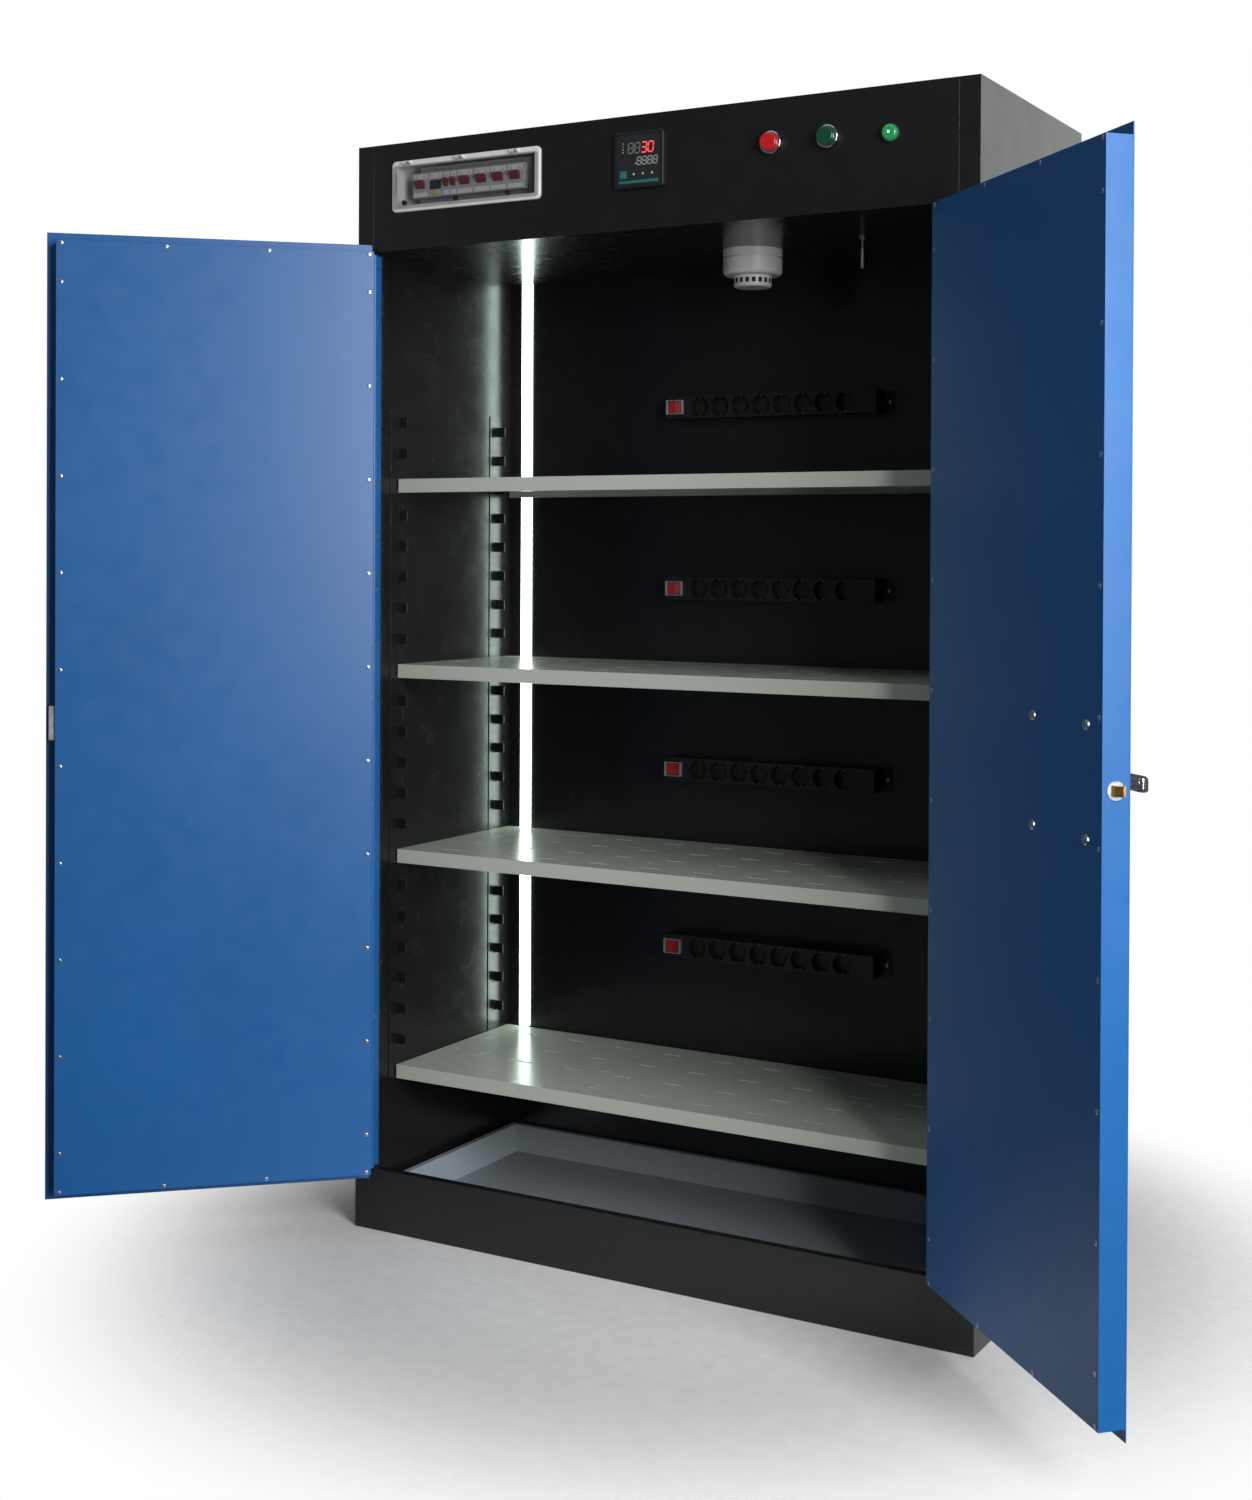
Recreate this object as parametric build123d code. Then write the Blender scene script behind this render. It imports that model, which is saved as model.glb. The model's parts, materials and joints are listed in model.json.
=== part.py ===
from build123d import *
import os

os.makedirs("parts", exist_ok=True)

# ---------------------------------------------------------------------------
# Battery cabinet. Millimetres, +Z up, front towards -Y.
# Origin: centre of the body's footprint, on the underside of the floor sheet.
# ---------------------------------------------------------------------------

# Body
width = 1214.0
depth = 505.0
height = 2000.0
sheet = 1.5
seam = 0.3
front_flange = 35.0
jamb_depth = 29.0
sill_height = 113.0
header_height = 195.4
header_bottom = height - header_height
sill_return = 16.0

# Doors, in door coordinates: s from the hinge axis to the free edge, t into the cabinet
hinge_inset = 40.0
hinge_forward = 3.0
left_open_angle = 137.3
right_open_angle = 135.7
door_start = 5.0
door_inner_face = 41.5
door_skin_front = 0.5
door_bottom = sill_height + 1.4
door_top = header_bottom - 5.6
door_lip = 17.6
left_box_end = width / 2 - 47.0
left_lip_end = left_box_end + 17.8
right_box_end = width / 2 - 54.0
liner_sheet = 1.2

# Piano hinges
knuckle_radius = 4.5
knuckle_count = 17
knuckle_gap = 0.3
leaf_sheet = 1.5
leaf_depth = 25.0
leaf_setback = 5.4
pin_radius = 1.6
pin_clearance = 0.05
hinge_screw_pitch = (door_top - door_bottom - 103.8) / 16
hinge_screw_top = door_top - 23.0
hinge_screw_in = 15.0
hinge_screw_radius = 3.2

# Screws round the inner face of each door
screw_side_inset = 8.5
screw_end_inset = 4.8
screw_end_step = 69.0
screw_radius = 3.8
screw_head = 1.2

# Door lock
lock_s = right_box_end - 60.0
lock_z = 948.0
lock_t = 22.0
lock_plate_s = lock_s - 59.0
lock_plate_z = lock_z + 7.0
lock_plate_width = 186.0
lock_plate_height = 186.0
lock_plate_thick = 3.0
lock_bolt_x = 154.0
lock_bolt_z = 152.0
lock_bolt_radius = 3.0
lock_bolt_head_radius = 8.0
lock_bolt_head = 4.5
latch_width = 12.0
latch_height = 14.0
latch_clearance = 0.1
latch_throw = 16.0
latch_travel = 13.0
faceplate_radius = 12.7
faceplate_thick = 1.6
latch_tube_radius = 10.5
handle_shaft_radius = 8.0
handle_reach = 48.0
handle_length = 118.0
key_drop = 62.0
key_radius = 6.0
key_boss_radius = 10.5
strike_height = 60.0
strike_depth = 24.0
strike_stand = 11.0

# Shelf uprights and shelves
upright_width = 40.0
upright_top = header_bottom - 274.6
upright_front_y = 117.0
upright_rear_y = depth - 57.0
hook_pitch = 58.8
hook_top_first = upright_top - 22.4
hook_count = 22
hook_out = 17.0
hook_height = 19.0
upright_bottom = hook_top_first - 21 * hook_pitch - 42.8
window_width = 16.0
shelf_levels = (21, 14, 8, 2)
shelf_front_y = 119.0
shelf_back_y = depth - 6.0
shelf_side_gap = 4.0
shelf_lip = 26.0
shelf_lip_return = 12.0
slot_length = 38.0
slot_width = 5.0
slot_pitch = 108.7
slot_first_x = 98.0
slot_columns = 10
slot_rows_y = (166.0, 258.0, 351.0, 446.0)

# Drip tray
tray_side = 19.0
tray_front_y = 34.0
tray_back_y = depth - 6.0
tray_rim_z = 72.0
tray_rim = 12.0
tray_floor_z = 24.0
tray_slope = 18.0

# Power strips on the back wall
strip_levels = tuple(upright_top - drop for drop in (1045.0, 699.0, 346.0, -7.0))
strip_centre_x = width / 2 + 11.5
strip_total_length = 482.6
strip_body_length = strip_total_length - 38.6
strip_height = 44.0
strip_depth = 42.0
ear_sheet = 2.0
socket_first_x = 470.0
socket_pitch = 44.0
socket_count = 8
socket_radius = 19.0
socket_deep = 15.0
contact_width = 4.0
contact_thick = 1.2
rocker_x = 417.0
rocker_length = 30.0
rocker_height = 22.0
rocker_gap = 0.6
rocker_angle = 14.0
guard_wall = 2.0
guard_high = 7.0

# LED strip in the back left corner
led_x = 44.0
led_width = 24.0
led_thick = 3.6
led_bottom = 276.0

# Breaker window in the header
window_left = 80.0
window_right = 402.0
window_top = height - 34.0
window_bottom = window_top - 93.0
window_ring = 11.0
window_ring_out = 5.0
window_box_depth = 78.0
window_box_wall = 2.0
cover_thick = 2.0
cover_bulge = 12.0
cover_axis_out = 9.0
cover_latch_x = (112.0, 226.0, 338.0)
cover_hinge_x = (116.0, 232.0, 350.0)
cover_latch_radius = 4.5
breaker_first_x = 119.0
breaker_widths = (35.0, 32.0, 15.5, 15.5, 36.0, 36.0, 36.0, 36.0)
breaker_has_lever = (True, False, True, True, True, True, True, True)
breaker_gap = 0.4
breaker_z = window_top - 46.0
breaker_nose = 45.0
breaker_body = 81.0
lever_angle = 60.0
lever_hub_radius = 7.0
lever_clearance = 0.08

# Controller, push buttons and lamp
controller_x = 604.0
controller_z = height - 78.0
controller_size = 96.0
controller_out = 9.0
controller_body = 91.0
controller_deep = 75.0
key_pad_height = 17.0
stop_x = 853.0
start_x = 955.0
lamp_x = 1064.0
button_z = height - 73.0
lamp_z = height - 77.0
bezel_radius = 19.0
button_radius = 15.0
bezel_out = 10.0
button_out = 20.0
button_travel = 4.0
lamp_radius = 14.0

# Ceiling fittings
detector_x = 666.0
detector_y = 300.0
detector_radius = 54.0
detector_base = 14.6
detector_gap = 3.0
detector_body = 30.0
detector_head = 21.0
probe_x = 905.0
probe_y = 250.0
probe_radius = 3.0
probe_tip_z = header_bottom - 54.6

# Cable gland in the roof
gland_x = 150.0
gland_y = depth - 60.0
gland_radius = 12.5

left = -width / 2
right = width / 2
front = -depth / 2
back = depth / 2
left_inner = left + sheet
right_inner = right - sheet
back_inner = back - sheet
axis_left_x = left + hinge_inset
axis_right_x = right - hinge_inset
axis_y = front - hinge_forward


def px(value):
    """Distance from the left side of the body, turned into a frame X."""
    return left + value


def py(value):
    """Distance behind the body's front face, turned into a frame Y."""
    return front + value


def block(x0, x1, y0, y1, z0, z1):
    """A box between two corners."""
    corner = (Align.MIN, Align.MIN, Align.MIN)
    return Pos(x0, y0, z0) * Box(x1 - x0, y1 - y0, z1 - z0, align=corner)


def rod_y(x, y0, y1, z, radius):
    """A round bar along Y from y0 to y1."""
    base = (Align.CENTER, Align.CENTER, Align.MIN)
    return Pos(x, y0, z) * Rot(-90, 0, 0) * Cylinder(radius, y1 - y0, align=base)


def rod_x(x0, x1, y, z, radius):
    """A round bar along X from x0 to x1."""
    base = (Align.CENTER, Align.CENTER, Align.MIN)
    return Pos(x0, y, z) * Rot(0, 90, 0) * Cylinder(radius, x1 - x0, align=base)


def rod_z(x, y, z0, z1, radius):
    """A round bar along Z from z0 to z1."""
    base = (Align.CENTER, Align.CENTER, Align.MIN)
    return Pos(x, y, z0) * Cylinder(radius, z1 - z0, align=base)


def screw_y(x, y0, y1, z, radius):
    """A flat screw head as an eight-sided disc along Y."""
    outline = Plane((x, y0, z), x_dir=(1, 0, 0), z_dir=(0, 1, 0)) * RegularPolygon(radius, 8)
    return extrude(outline, y1 - y0)


def screw_x(x0, x1, y, z, radius):
    """A flat screw head as an eight-sided disc along X."""
    outline = Plane((x0, y, z), x_dir=(0, 1, 0), z_dir=(1, 0, 0)) * RegularPolygon(radius, 8)
    return extrude(outline, x1 - x0)


def mirrored(shape):
    """The same shape on the other side of the cabinet."""
    return mirror(shape, about=Plane.YZ)


def hang(shape, side):
    """Carry a piece drawn in door coordinates to its open place on the cabinet."""
    if side == "left":
        return Location((axis_left_x, axis_y, 0), (0, 0, -left_open_angle)) * shape
    turned = mirror(shape, about=Plane.YZ)
    return Location((axis_right_x, axis_y, 0), (0, 0, right_open_angle)) * turned


def save(shape, node):
    export_step(shape, "parts/" + node + ".step")


# ---------------------------------------------------------------------------
# Body panels
# ---------------------------------------------------------------------------
def side_panel():
    """Side sheet with its front flange and the jamb turned back from it (left hand)."""
    wall = block(left, left_inner, front, back, 0, height)
    flange = block(left, px(front_flange), front, py(sheet), 0, height)
    jamb = block(px(front_flange) - sheet, px(front_flange), front, py(jamb_depth), 0, height)
    return wall + flange + jamb


def header():
    """Front plate above the doors, with its openings and a lower return."""
    side = front_flange + seam
    plate = block(px(side), -px(side), front, py(sheet), header_bottom, height)
    lower = block(px(side), -px(side), front, py(jamb_depth), header_bottom, header_bottom + sheet)
    inset = window_ring - 3.0
    hole = block(
        px(window_left + inset), px(window_right - inset),
        front - 1, py(sheet) + 1,
        window_bottom + inset, window_top - inset,
    )
    half = controller_body / 2 + 0.5
    square = block(
        px(controller_x) - half, px(controller_x) + half,
        front - 1, py(sheet) + 1,
        controller_z - half, controller_z + half,
    )
    holes = [hole, square]
    for x, z in ((stop_x, button_z), (start_x, button_z), (lamp_x, lamp_z)):
        holes.append(rod_y(px(x), front - 1, py(sheet) + 1, z, 11.3))
    return plate + lower - holes


def sill():
    """Front plate under the doors with a return along its top edge."""
    side = front_flange + seam
    plate = block(px(side), -px(side), front, py(sheet), 0, sill_height)
    top = block(px(side), -px(side), front, py(sill_return), sill_height - sheet, sill_height)
    return plate + top


save(side_panel(), "side_panel_left")
save(mirrored(side_panel()), "side_panel_right")
save(header(), "header_panel")
save(sill(), "sill_panel")
save(block(left_inner, right_inner, back_inner, back, 0, height), "back_panel")
save(block(left_inner, right_inner, py(sheet), back_inner, height - sheet, height)
     - [rod_z(px(gland_x), py(gland_y), height - 5, height + 5, gland_radius + 0.1),
        block(px(front_flange) - sheet, px(front_flange), front, py(jamb_depth), 0, height + 1),
        block(-px(front_flange), -px(front_flange) + sheet, front, py(jamb_depth), 0, height + 1)],
     "roof_panel")
save(block(left_inner, right_inner, py(sheet), back_inner, 0, sheet)
     - [block(px(front_flange) - sheet, px(front_flange), front, py(jamb_depth), -1, height),
        block(-px(front_flange), -px(front_flange) + sheet, front, py(jamb_depth), -1, height)],
     "floor_panel")
save(block(left_inner, right_inner, py(jamb_depth) + seam, back_inner,
           header_bottom, header_bottom + sheet), "ceiling_panel")


# ---------------------------------------------------------------------------
# Uprights and shelves
# ---------------------------------------------------------------------------
def upright(centre_y):
    """One strip on the left wall, punched and with its hooks bent inwards."""
    face = left_inner + sheet
    strip = block(
        left_inner, face,
        py(centre_y - upright_width / 2), py(centre_y + upright_width / 2),
        upright_bottom, upright_top,
    )
    windows = []
    hooks = []
    edge = py(centre_y + window_width / 2)
    for row in range(hook_count):
        top = hook_top_first - row * hook_pitch
        windows.append(block(left_inner - 1, face + 1, edge - window_width, edge, top - hook_height, top))
        hooks.append(block(left_inner, face + hook_out, edge, edge + sheet, top - hook_height, top))
    return (strip - windows) + hooks


def uprights():
    front_strip = upright(upright_front_y)
    rear_strip = upright(upright_rear_y)
    parts = []
    for strip in (front_strip, rear_strip, mirrored(front_strip), mirrored(rear_strip)):
        parts.extend(strip.solids())
    return Compound(parts)


def shelf(level):
    """A sheet shelf with turned-down front and back lips and rows of slots."""
    top = hook_top_first - level * hook_pitch + sheet
    x0 = px(shelf_side_gap)
    x1 = -x0
    y0 = py(shelf_front_y)
    y1 = py(shelf_back_y)
    body = block(x0, x1, y0, y1, top - sheet, top)
    body += block(x0, x1, y0, y0 + sheet, top - shelf_lip, top)
    body += block(x0, x1, y1 - sheet, y1, top - shelf_lip, top)
    low = top - shelf_lip
    body += block(x0 + 24, x1 - 24, y0, y0 + shelf_lip_return, low, low + sheet)
    body += block(x0 + 24, x1 - 24, y1 - shelf_lip_return, y1, low, low + sheet)
    slots = []
    for y in slot_rows_y:
        for column in range(slot_columns):
            x = px(slot_first_x + column * slot_pitch)
            slots.append(block(
                x - slot_length / 2, x + slot_length / 2,
                py(y) - slot_width / 2, py(y) + slot_width / 2,
                top - sheet - 1, top + 1,
            ))
    return body - slots


save(uprights(), "shelf_uprights")
for number, level in enumerate(shelf_levels, start=1):
    save(shelf(level), "shelf_" + str(number))


# ---------------------------------------------------------------------------
# Drip tray
# ---------------------------------------------------------------------------
def frustum(x0, x1, y0, y1, z0, z1, inset):
    """A solid whose lower rectangle is smaller than the upper one by inset."""
    mid_x = (x0 + x1) / 2
    mid_y = (y0 + y1) / 2
    low = Pos(mid_x, mid_y, z0) * Rectangle(x1 - x0 - 2 * inset, y1 - y0 - 2 * inset)
    high = Pos(mid_x, mid_y, z1) * Rectangle(x1 - x0, y1 - y0)
    return loft([low.face(), high.face()])


def drip_tray():
    x0 = px(tray_side)
    x1 = -x0
    y0 = py(tray_front_y)
    y1 = py(tray_back_y)
    skirt = block(x0, x1, y0, y1, sheet, tray_rim_z)
    hollow = block(x0 + sheet, x1 - sheet, y0 + sheet, y1 - sheet, sheet - 1, tray_rim_z - sheet)
    shell = skirt - hollow
    basin = frustum(
        x0 + tray_rim - sheet, x1 - tray_rim + sheet, y0 + tray_rim - sheet, y1 - tray_rim + sheet,
        tray_floor_z - sheet, tray_rim_z, tray_slope,
    )
    inside = frustum(
        x0 + tray_rim, x1 - tray_rim, y0 + tray_rim, y1 - tray_rim,
        tray_floor_z, tray_rim_z + 0.001, tray_slope,
    )
    return (shell + basin) - inside


save(drip_tray(), "drip_tray")


# ---------------------------------------------------------------------------
# Power strips
# ---------------------------------------------------------------------------
strip_front = back_inner - strip_depth


def strip_housing(z):
    x = px(strip_centre_x)
    body = block(
        x - strip_body_length / 2, x + strip_body_length / 2,
        strip_front, back_inner,
        z - strip_height / 2, z + strip_height / 2,
    )
    ears = block(
        x - strip_total_length / 2, x + strip_total_length / 2,
        back_inner - ear_sheet, back_inner,
        z - strip_height / 2, z + strip_height / 2,
    )
    cuts = []
    for number in range(socket_count):
        socket_x = px(socket_first_x + number * socket_pitch)
        cuts.append(rod_y(socket_x, strip_front - 1, strip_front + socket_deep, z, socket_radius))
    half_x = rocker_length / 2 + rocker_gap
    half_z = rocker_height / 2 + rocker_gap
    cuts.append(block(
        px(rocker_x) - half_x, px(rocker_x) + half_x,
        strip_front - 1, strip_front + 14,
        z - half_z, z + half_z,
    ))
    return body + ears - cuts


def strip_contacts(z):
    """Two earth clips in every socket, seated on the wall of the recess."""
    clips = []
    reach = socket_radius - 1.0
    for number in range(socket_count):
        x = px(socket_first_x + number * socket_pitch)
        for side in (-1, 1):
            z0 = z + side * reach
            clips.append(block(
                x - contact_width / 2, x + contact_width / 2,
                strip_front + 3, strip_front + socket_deep,
                min(z0, z0 - side * contact_thick), max(z0, z0 - side * contact_thick),
            ))
    return clips


def strip_guard(z):
    """Clear frame standing round the rocker."""
    half_x = rocker_length / 2 + rocker_gap + 0.4
    half_z = rocker_height / 2 + rocker_gap + 0.4
    x = px(rocker_x)
    outer = block(
        x - half_x - guard_wall, x + half_x + guard_wall,
        strip_front - guard_high, strip_front,
        z - half_z - guard_wall, z + half_z + guard_wall,
    )
    inner = block(x - half_x, x + half_x, strip_front - guard_high - 1, strip_front + 1, z - half_z, z + half_z)
    return outer - inner


def strip_rocker(z):
    """Rocker turning about a vertical axis; its left half is pressed in."""
    x = px(rocker_x)
    pivot_y = strip_front + 5.0
    half = rocker_length / 2 - 1.0
    points = [(-half, -4.0), (-half, -7.8), (0.0, -6.0), (half, -7.8), (half, -4.0), (4.0, 5.0), (-4.0, 5.0)]
    outline = make_face(Polyline(points, close=True))
    rocker = extrude(Pos(0, 0, z - rocker_height / 2) * outline, rocker_height, dir=(0, 0, 1))
    return Pos(x, pivot_y, 0) * Rot(0, 0, -rocker_angle / 2) * rocker


housings = []
contacts = []
guards = []
for number, z in enumerate(strip_levels, start=1):
    housings.extend(strip_housing(z).solids())
    contacts.extend(strip_contacts(z))
    guards.extend(strip_guard(z).solids())
    save(strip_rocker(z), "strip_switch_" + str(number))
save(Compound(housings), "power_strip_housings")
save(Compound(contacts), "socket_contacts")
save(Compound(guards), "switch_guards")


# ---------------------------------------------------------------------------
# LED strip
# ---------------------------------------------------------------------------
save(block(px(led_x - led_width / 2), px(led_x + led_width / 2),
           back_inner - led_thick, back_inner, led_bottom, header_bottom), "led_strip")


# ---------------------------------------------------------------------------
# Doors
# ---------------------------------------------------------------------------
def door_skin(lip_end):
    """Outer sheet reaching past the liner by a lip at the top and bottom."""
    low = door_bottom - door_lip
    high = door_top + door_lip
    return block(door_start, lip_end, door_skin_front, door_skin_front + sheet, low, high)


def door_liner(box_end):
    """Inner tray: a face towards the cabinet and four walls up to the skin."""
    t0 = door_skin_front + sheet
    t1 = door_inner_face
    tray = block(door_start, box_end, t0, t1, door_bottom, door_top)
    hollow = block(
        door_start + liner_sheet, box_end - liner_sheet,
        t0 - 1, t1 - liner_sheet,
        door_bottom + liner_sheet, door_top - liner_sheet,
    )
    return tray - hollow


def knuckle_spans():
    pitch = (door_top - door_bottom) / knuckle_count
    spans = []
    for number in range(knuckle_count):
        low = door_bottom + number * pitch
        spans.append((number, low + knuckle_gap / 2, low + pitch - knuckle_gap / 2))
    return spans


def hinge_leaf(parity, face, direction):
    """A leaf along one side of the hinge axis with every second knuckle.

    face is the s of the leaf's seat, direction points from the seat to the axis.
    """
    x0 = min(face, face + direction * leaf_sheet)
    x1 = max(face, face + direction * leaf_sheet)
    leaf = block(x0, x1, leaf_setback, leaf_depth, door_bottom + 0.15, door_top - 0.15)
    added = []
    bores = []
    for number, low, high in knuckle_spans():
        if number % 2 == parity:
            added.append(rod_z(0, 0, low, high, knuckle_radius))
            added.append(block(x0, x1, 0, leaf_setback + 1, low, high))
            bores.append(rod_z(0, 0, low - 1, high + 1, pin_radius + pin_clearance))
    return (leaf + added) - bores


def hinge_screws(face, direction):
    heads = []
    for number in range(knuckle_count):
        z = hinge_screw_top - number * hinge_screw_pitch
        x0 = min(face, face + direction * screw_head)
        x1 = max(face, face + direction * screw_head)
        heads.append(screw_x(x0, x1, hinge_screw_in, z, hinge_screw_radius))
    return heads


def panel_screws(box_end):
    """Heads round the edge of the liner's inner face."""
    s0 = door_start + screw_side_inset
    s1 = box_end - screw_side_inset
    z0 = door_bottom + screw_end_inset
    z1 = door_top - screw_end_inset
    rows = [z0, z1]
    step = (z1 - z0 - 2 * screw_end_step) / 9
    for number in range(10):
        rows.append(z0 + screw_end_step + number * step)
    places = [(s, z) for s in (s0, s1) for z in rows]
    for number in (1, 2):
        s = s0 + (s1 - s0) * number / 3
        places.append((s, z0))
        places.append((s, z1))
    t1 = door_inner_face
    return [screw_y(s, t1, t1 + screw_head, z, screw_radius) for s, z in places]


def lock_bolt_places():
    for side in (-1, 1):
        for rise in (-1, 1):
            yield lock_plate_s + side * lock_bolt_x / 2, lock_plate_z + rise * lock_bolt_z / 2


left_skin = door_skin(left_lip_end)
left_liner = door_liner(left_box_end)
save(hang(left_skin, "left"), "left_door_skin")
save(hang(left_liner, "left"), "left_door_liner")
save(hang(hinge_leaf(1, door_start, -1), "left"), "left_door_leaf")
left_screws = panel_screws(left_box_end) + hinge_screws(door_start - leaf_sheet, -1)
save(Compound([hang(screw, "left") for screw in left_screws]), "left_door_screws")

right_skin = door_skin(right_box_end)
right_liner = door_liner(right_box_end)
skin_cuts = [rod_y(lock_s, -5, 5, lock_z, handle_shaft_radius + 0.5)]
skin_cuts.append(rod_y(lock_s, -5, 5, lock_z - key_drop, key_radius + 0.5))
liner_cuts = [rod_x(right_box_end - 5, right_box_end + 5, lock_t, lock_z, latch_tube_radius + 0.05)]
for s, z in lock_bolt_places():
    skin_cuts.append(rod_y(s, -5, 5, z, lock_bolt_radius + 0.05))
    liner_cuts.append(rod_y(s, door_inner_face - 5, door_inner_face + 5, z, lock_bolt_radius + 0.05))
save(hang(right_skin - skin_cuts, "right"), "right_door_skin")
save(hang(right_liner - liner_cuts, "right"), "right_door_liner")
save(hang(hinge_leaf(1, door_start, -1), "right"), "right_door_leaf")
right_screws = panel_screws(right_box_end) + hinge_screws(door_start - leaf_sheet, -1)
for s, z in lock_bolt_places():
    head = rod_y(s, door_inner_face, door_inner_face + lock_bolt_head, z, lock_bolt_head_radius)
    shank = rod_y(s, door_skin_front, door_inner_face, z, lock_bolt_radius)
    right_screws.append(head + shank)
save(Compound([hang(screw, "right") for screw in right_screws]), "right_door_screws")


def place_jamb(shape):
    return Pos(axis_left_x, axis_y, 0) * shape


jamb_face = front_flange - hinge_inset
jamb_leaf = hinge_leaf(0, jamb_face, 1)
leaf_parts = []
screw_parts = []
for shape in (place_jamb(jamb_leaf), mirrored(place_jamb(jamb_leaf))):
    leaf_parts.extend(shape.solids())
for screw in hinge_screws(jamb_face + leaf_sheet, 1):
    screw_parts.append(place_jamb(screw))
    screw_parts.append(mirrored(place_jamb(screw)))
left_pin = rod_z(axis_left_x, axis_y, door_bottom, door_top, pin_radius)
screw_parts.extend([left_pin, mirrored(left_pin)])
save(Compound(leaf_parts), "jamb_leaves")
save(Compound(screw_parts), "jamb_pins_and_screws")


# ---------------------------------------------------------------------------
# Lock of the right door and its keeper on the left door
# ---------------------------------------------------------------------------
def handle_plate():
    half_s = lock_plate_width / 2
    half_z = lock_plate_height / 2
    t0 = door_skin_front - lock_plate_thick
    plate = block(
        lock_plate_s - half_s, lock_plate_s + half_s, t0, door_skin_front,
        lock_plate_z - half_z, lock_plate_z + half_z,
    )
    plate = fillet(plate.edges().filter_by(Axis.Y), 12)
    key_z = lock_z - key_drop
    plate += rod_y(lock_s, t0 - 9, t0, lock_z, handle_shaft_radius + 9)
    plate += rod_y(lock_s, t0 - 5, t0, key_z, key_boss_radius)
    cuts = [
        rod_y(lock_s, -40, 10, lock_z, handle_shaft_radius + 0.05),
        rod_y(lock_s, -40, 10, key_z, key_radius + 0.05),
    ]
    return plate - cuts


def door_handle():
    """Lever with a round shaft and a square spindle end behind it."""
    t_plate = door_skin_front - lock_plate_thick
    t_out = t_plate - handle_reach
    shaft = rod_y(lock_s, t_out, lock_t - latch_tube_radius - 0.3, lock_z, handle_shaft_radius)
    grip = block(
        lock_s - handle_length, lock_s + 11, t_out - 6, t_out + 8,
        lock_z - 11, lock_z + 11,
    )
    grip = fillet(grip.edges(), 5.0)
    return shaft + grip


def key_plug():
    key_z = lock_z - key_drop
    t0 = door_skin_front - lock_plate_thick - 5.4
    plug = rod_y(lock_s, t0, door_skin_front + 6, key_z, key_radius)
    slot = block(lock_s - 0.9, lock_s + 0.9, t0 - 1, t0 + 8, key_z - 4, key_z + 4)
    return plug - slot


def latch_case():
    """Round latch tube through the free wall with its round faceplate."""
    end = right_box_end
    tube = rod_x(lock_s - 14, end, lock_t, lock_z, latch_tube_radius)
    face = rod_x(end, end + faceplate_thick, lock_t, lock_z, faceplate_radius)
    half_w = latch_width / 2 + latch_clearance
    half_h = latch_height / 2 + latch_clearance
    bore = block(
        lock_s - 20, end + 10, lock_t - half_w, lock_t + half_w,
        lock_z - half_h, lock_z + half_h,
    )
    return tube + face - bore


def latch_bolt():
    """Spring bolt with a bevelled nose, thrown."""
    end = right_box_end
    bolt = block(
        lock_s + 4, end + latch_throw, lock_t - latch_width / 2, lock_t + latch_width / 2,
        lock_z - latch_height / 2, lock_z + latch_height / 2,
    )
    tip = end + latch_throw
    wedge = make_face(Polyline(
        [(tip - 9, lock_t + latch_width / 2 + 1), (tip + 1, lock_t + latch_width / 2 + 1),
         (tip + 1, lock_t - latch_width / 2 + 2), (tip, lock_t - latch_width / 2 + 3)], close=True))
    return bolt - extrude(Pos(0, 0, lock_z - 20) * wedge, 40, dir=(0, 0, 1))


def strike():
    """Keeper block on the left door's free wall with a pocket for the bolt."""
    s0 = left_box_end
    keeper = block(
        s0, s0 + strike_stand, lock_t - strike_depth / 2, lock_t + strike_depth / 2,
        lock_z - strike_height / 2, lock_z + strike_height / 2,
    )
    pocket = block(
        s0 + 1.5, s0 + strike_stand + 1,
        lock_t - latch_width / 2 - 2, lock_t + latch_width / 2 + 2,
        lock_z - latch_height / 2 - 2, lock_z + latch_height / 2 + 2,
    )
    return keeper - pocket


save(hang(handle_plate(), "right"), "handle_plate")
save(hang(door_handle(), "right"), "door_handle")
save(hang(key_plug(), "right"), "key_plug")
save(hang(latch_case(), "right"), "latch_case")
save(hang(latch_bolt(), "right"), "latch_bolt")
save(hang(strike(), "left"), "strike_plate")


# ---------------------------------------------------------------------------
# Breaker window
# ---------------------------------------------------------------------------
cover_left = window_left + 4.0
cover_right = window_right - 4.0
cover_bottom = window_bottom + 5.0
cover_top = window_top - 6.0
ring_front = front - window_ring_out
cover_axis_y = front - cover_axis_out
cover_axis_z = window_top - 4.5


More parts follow.
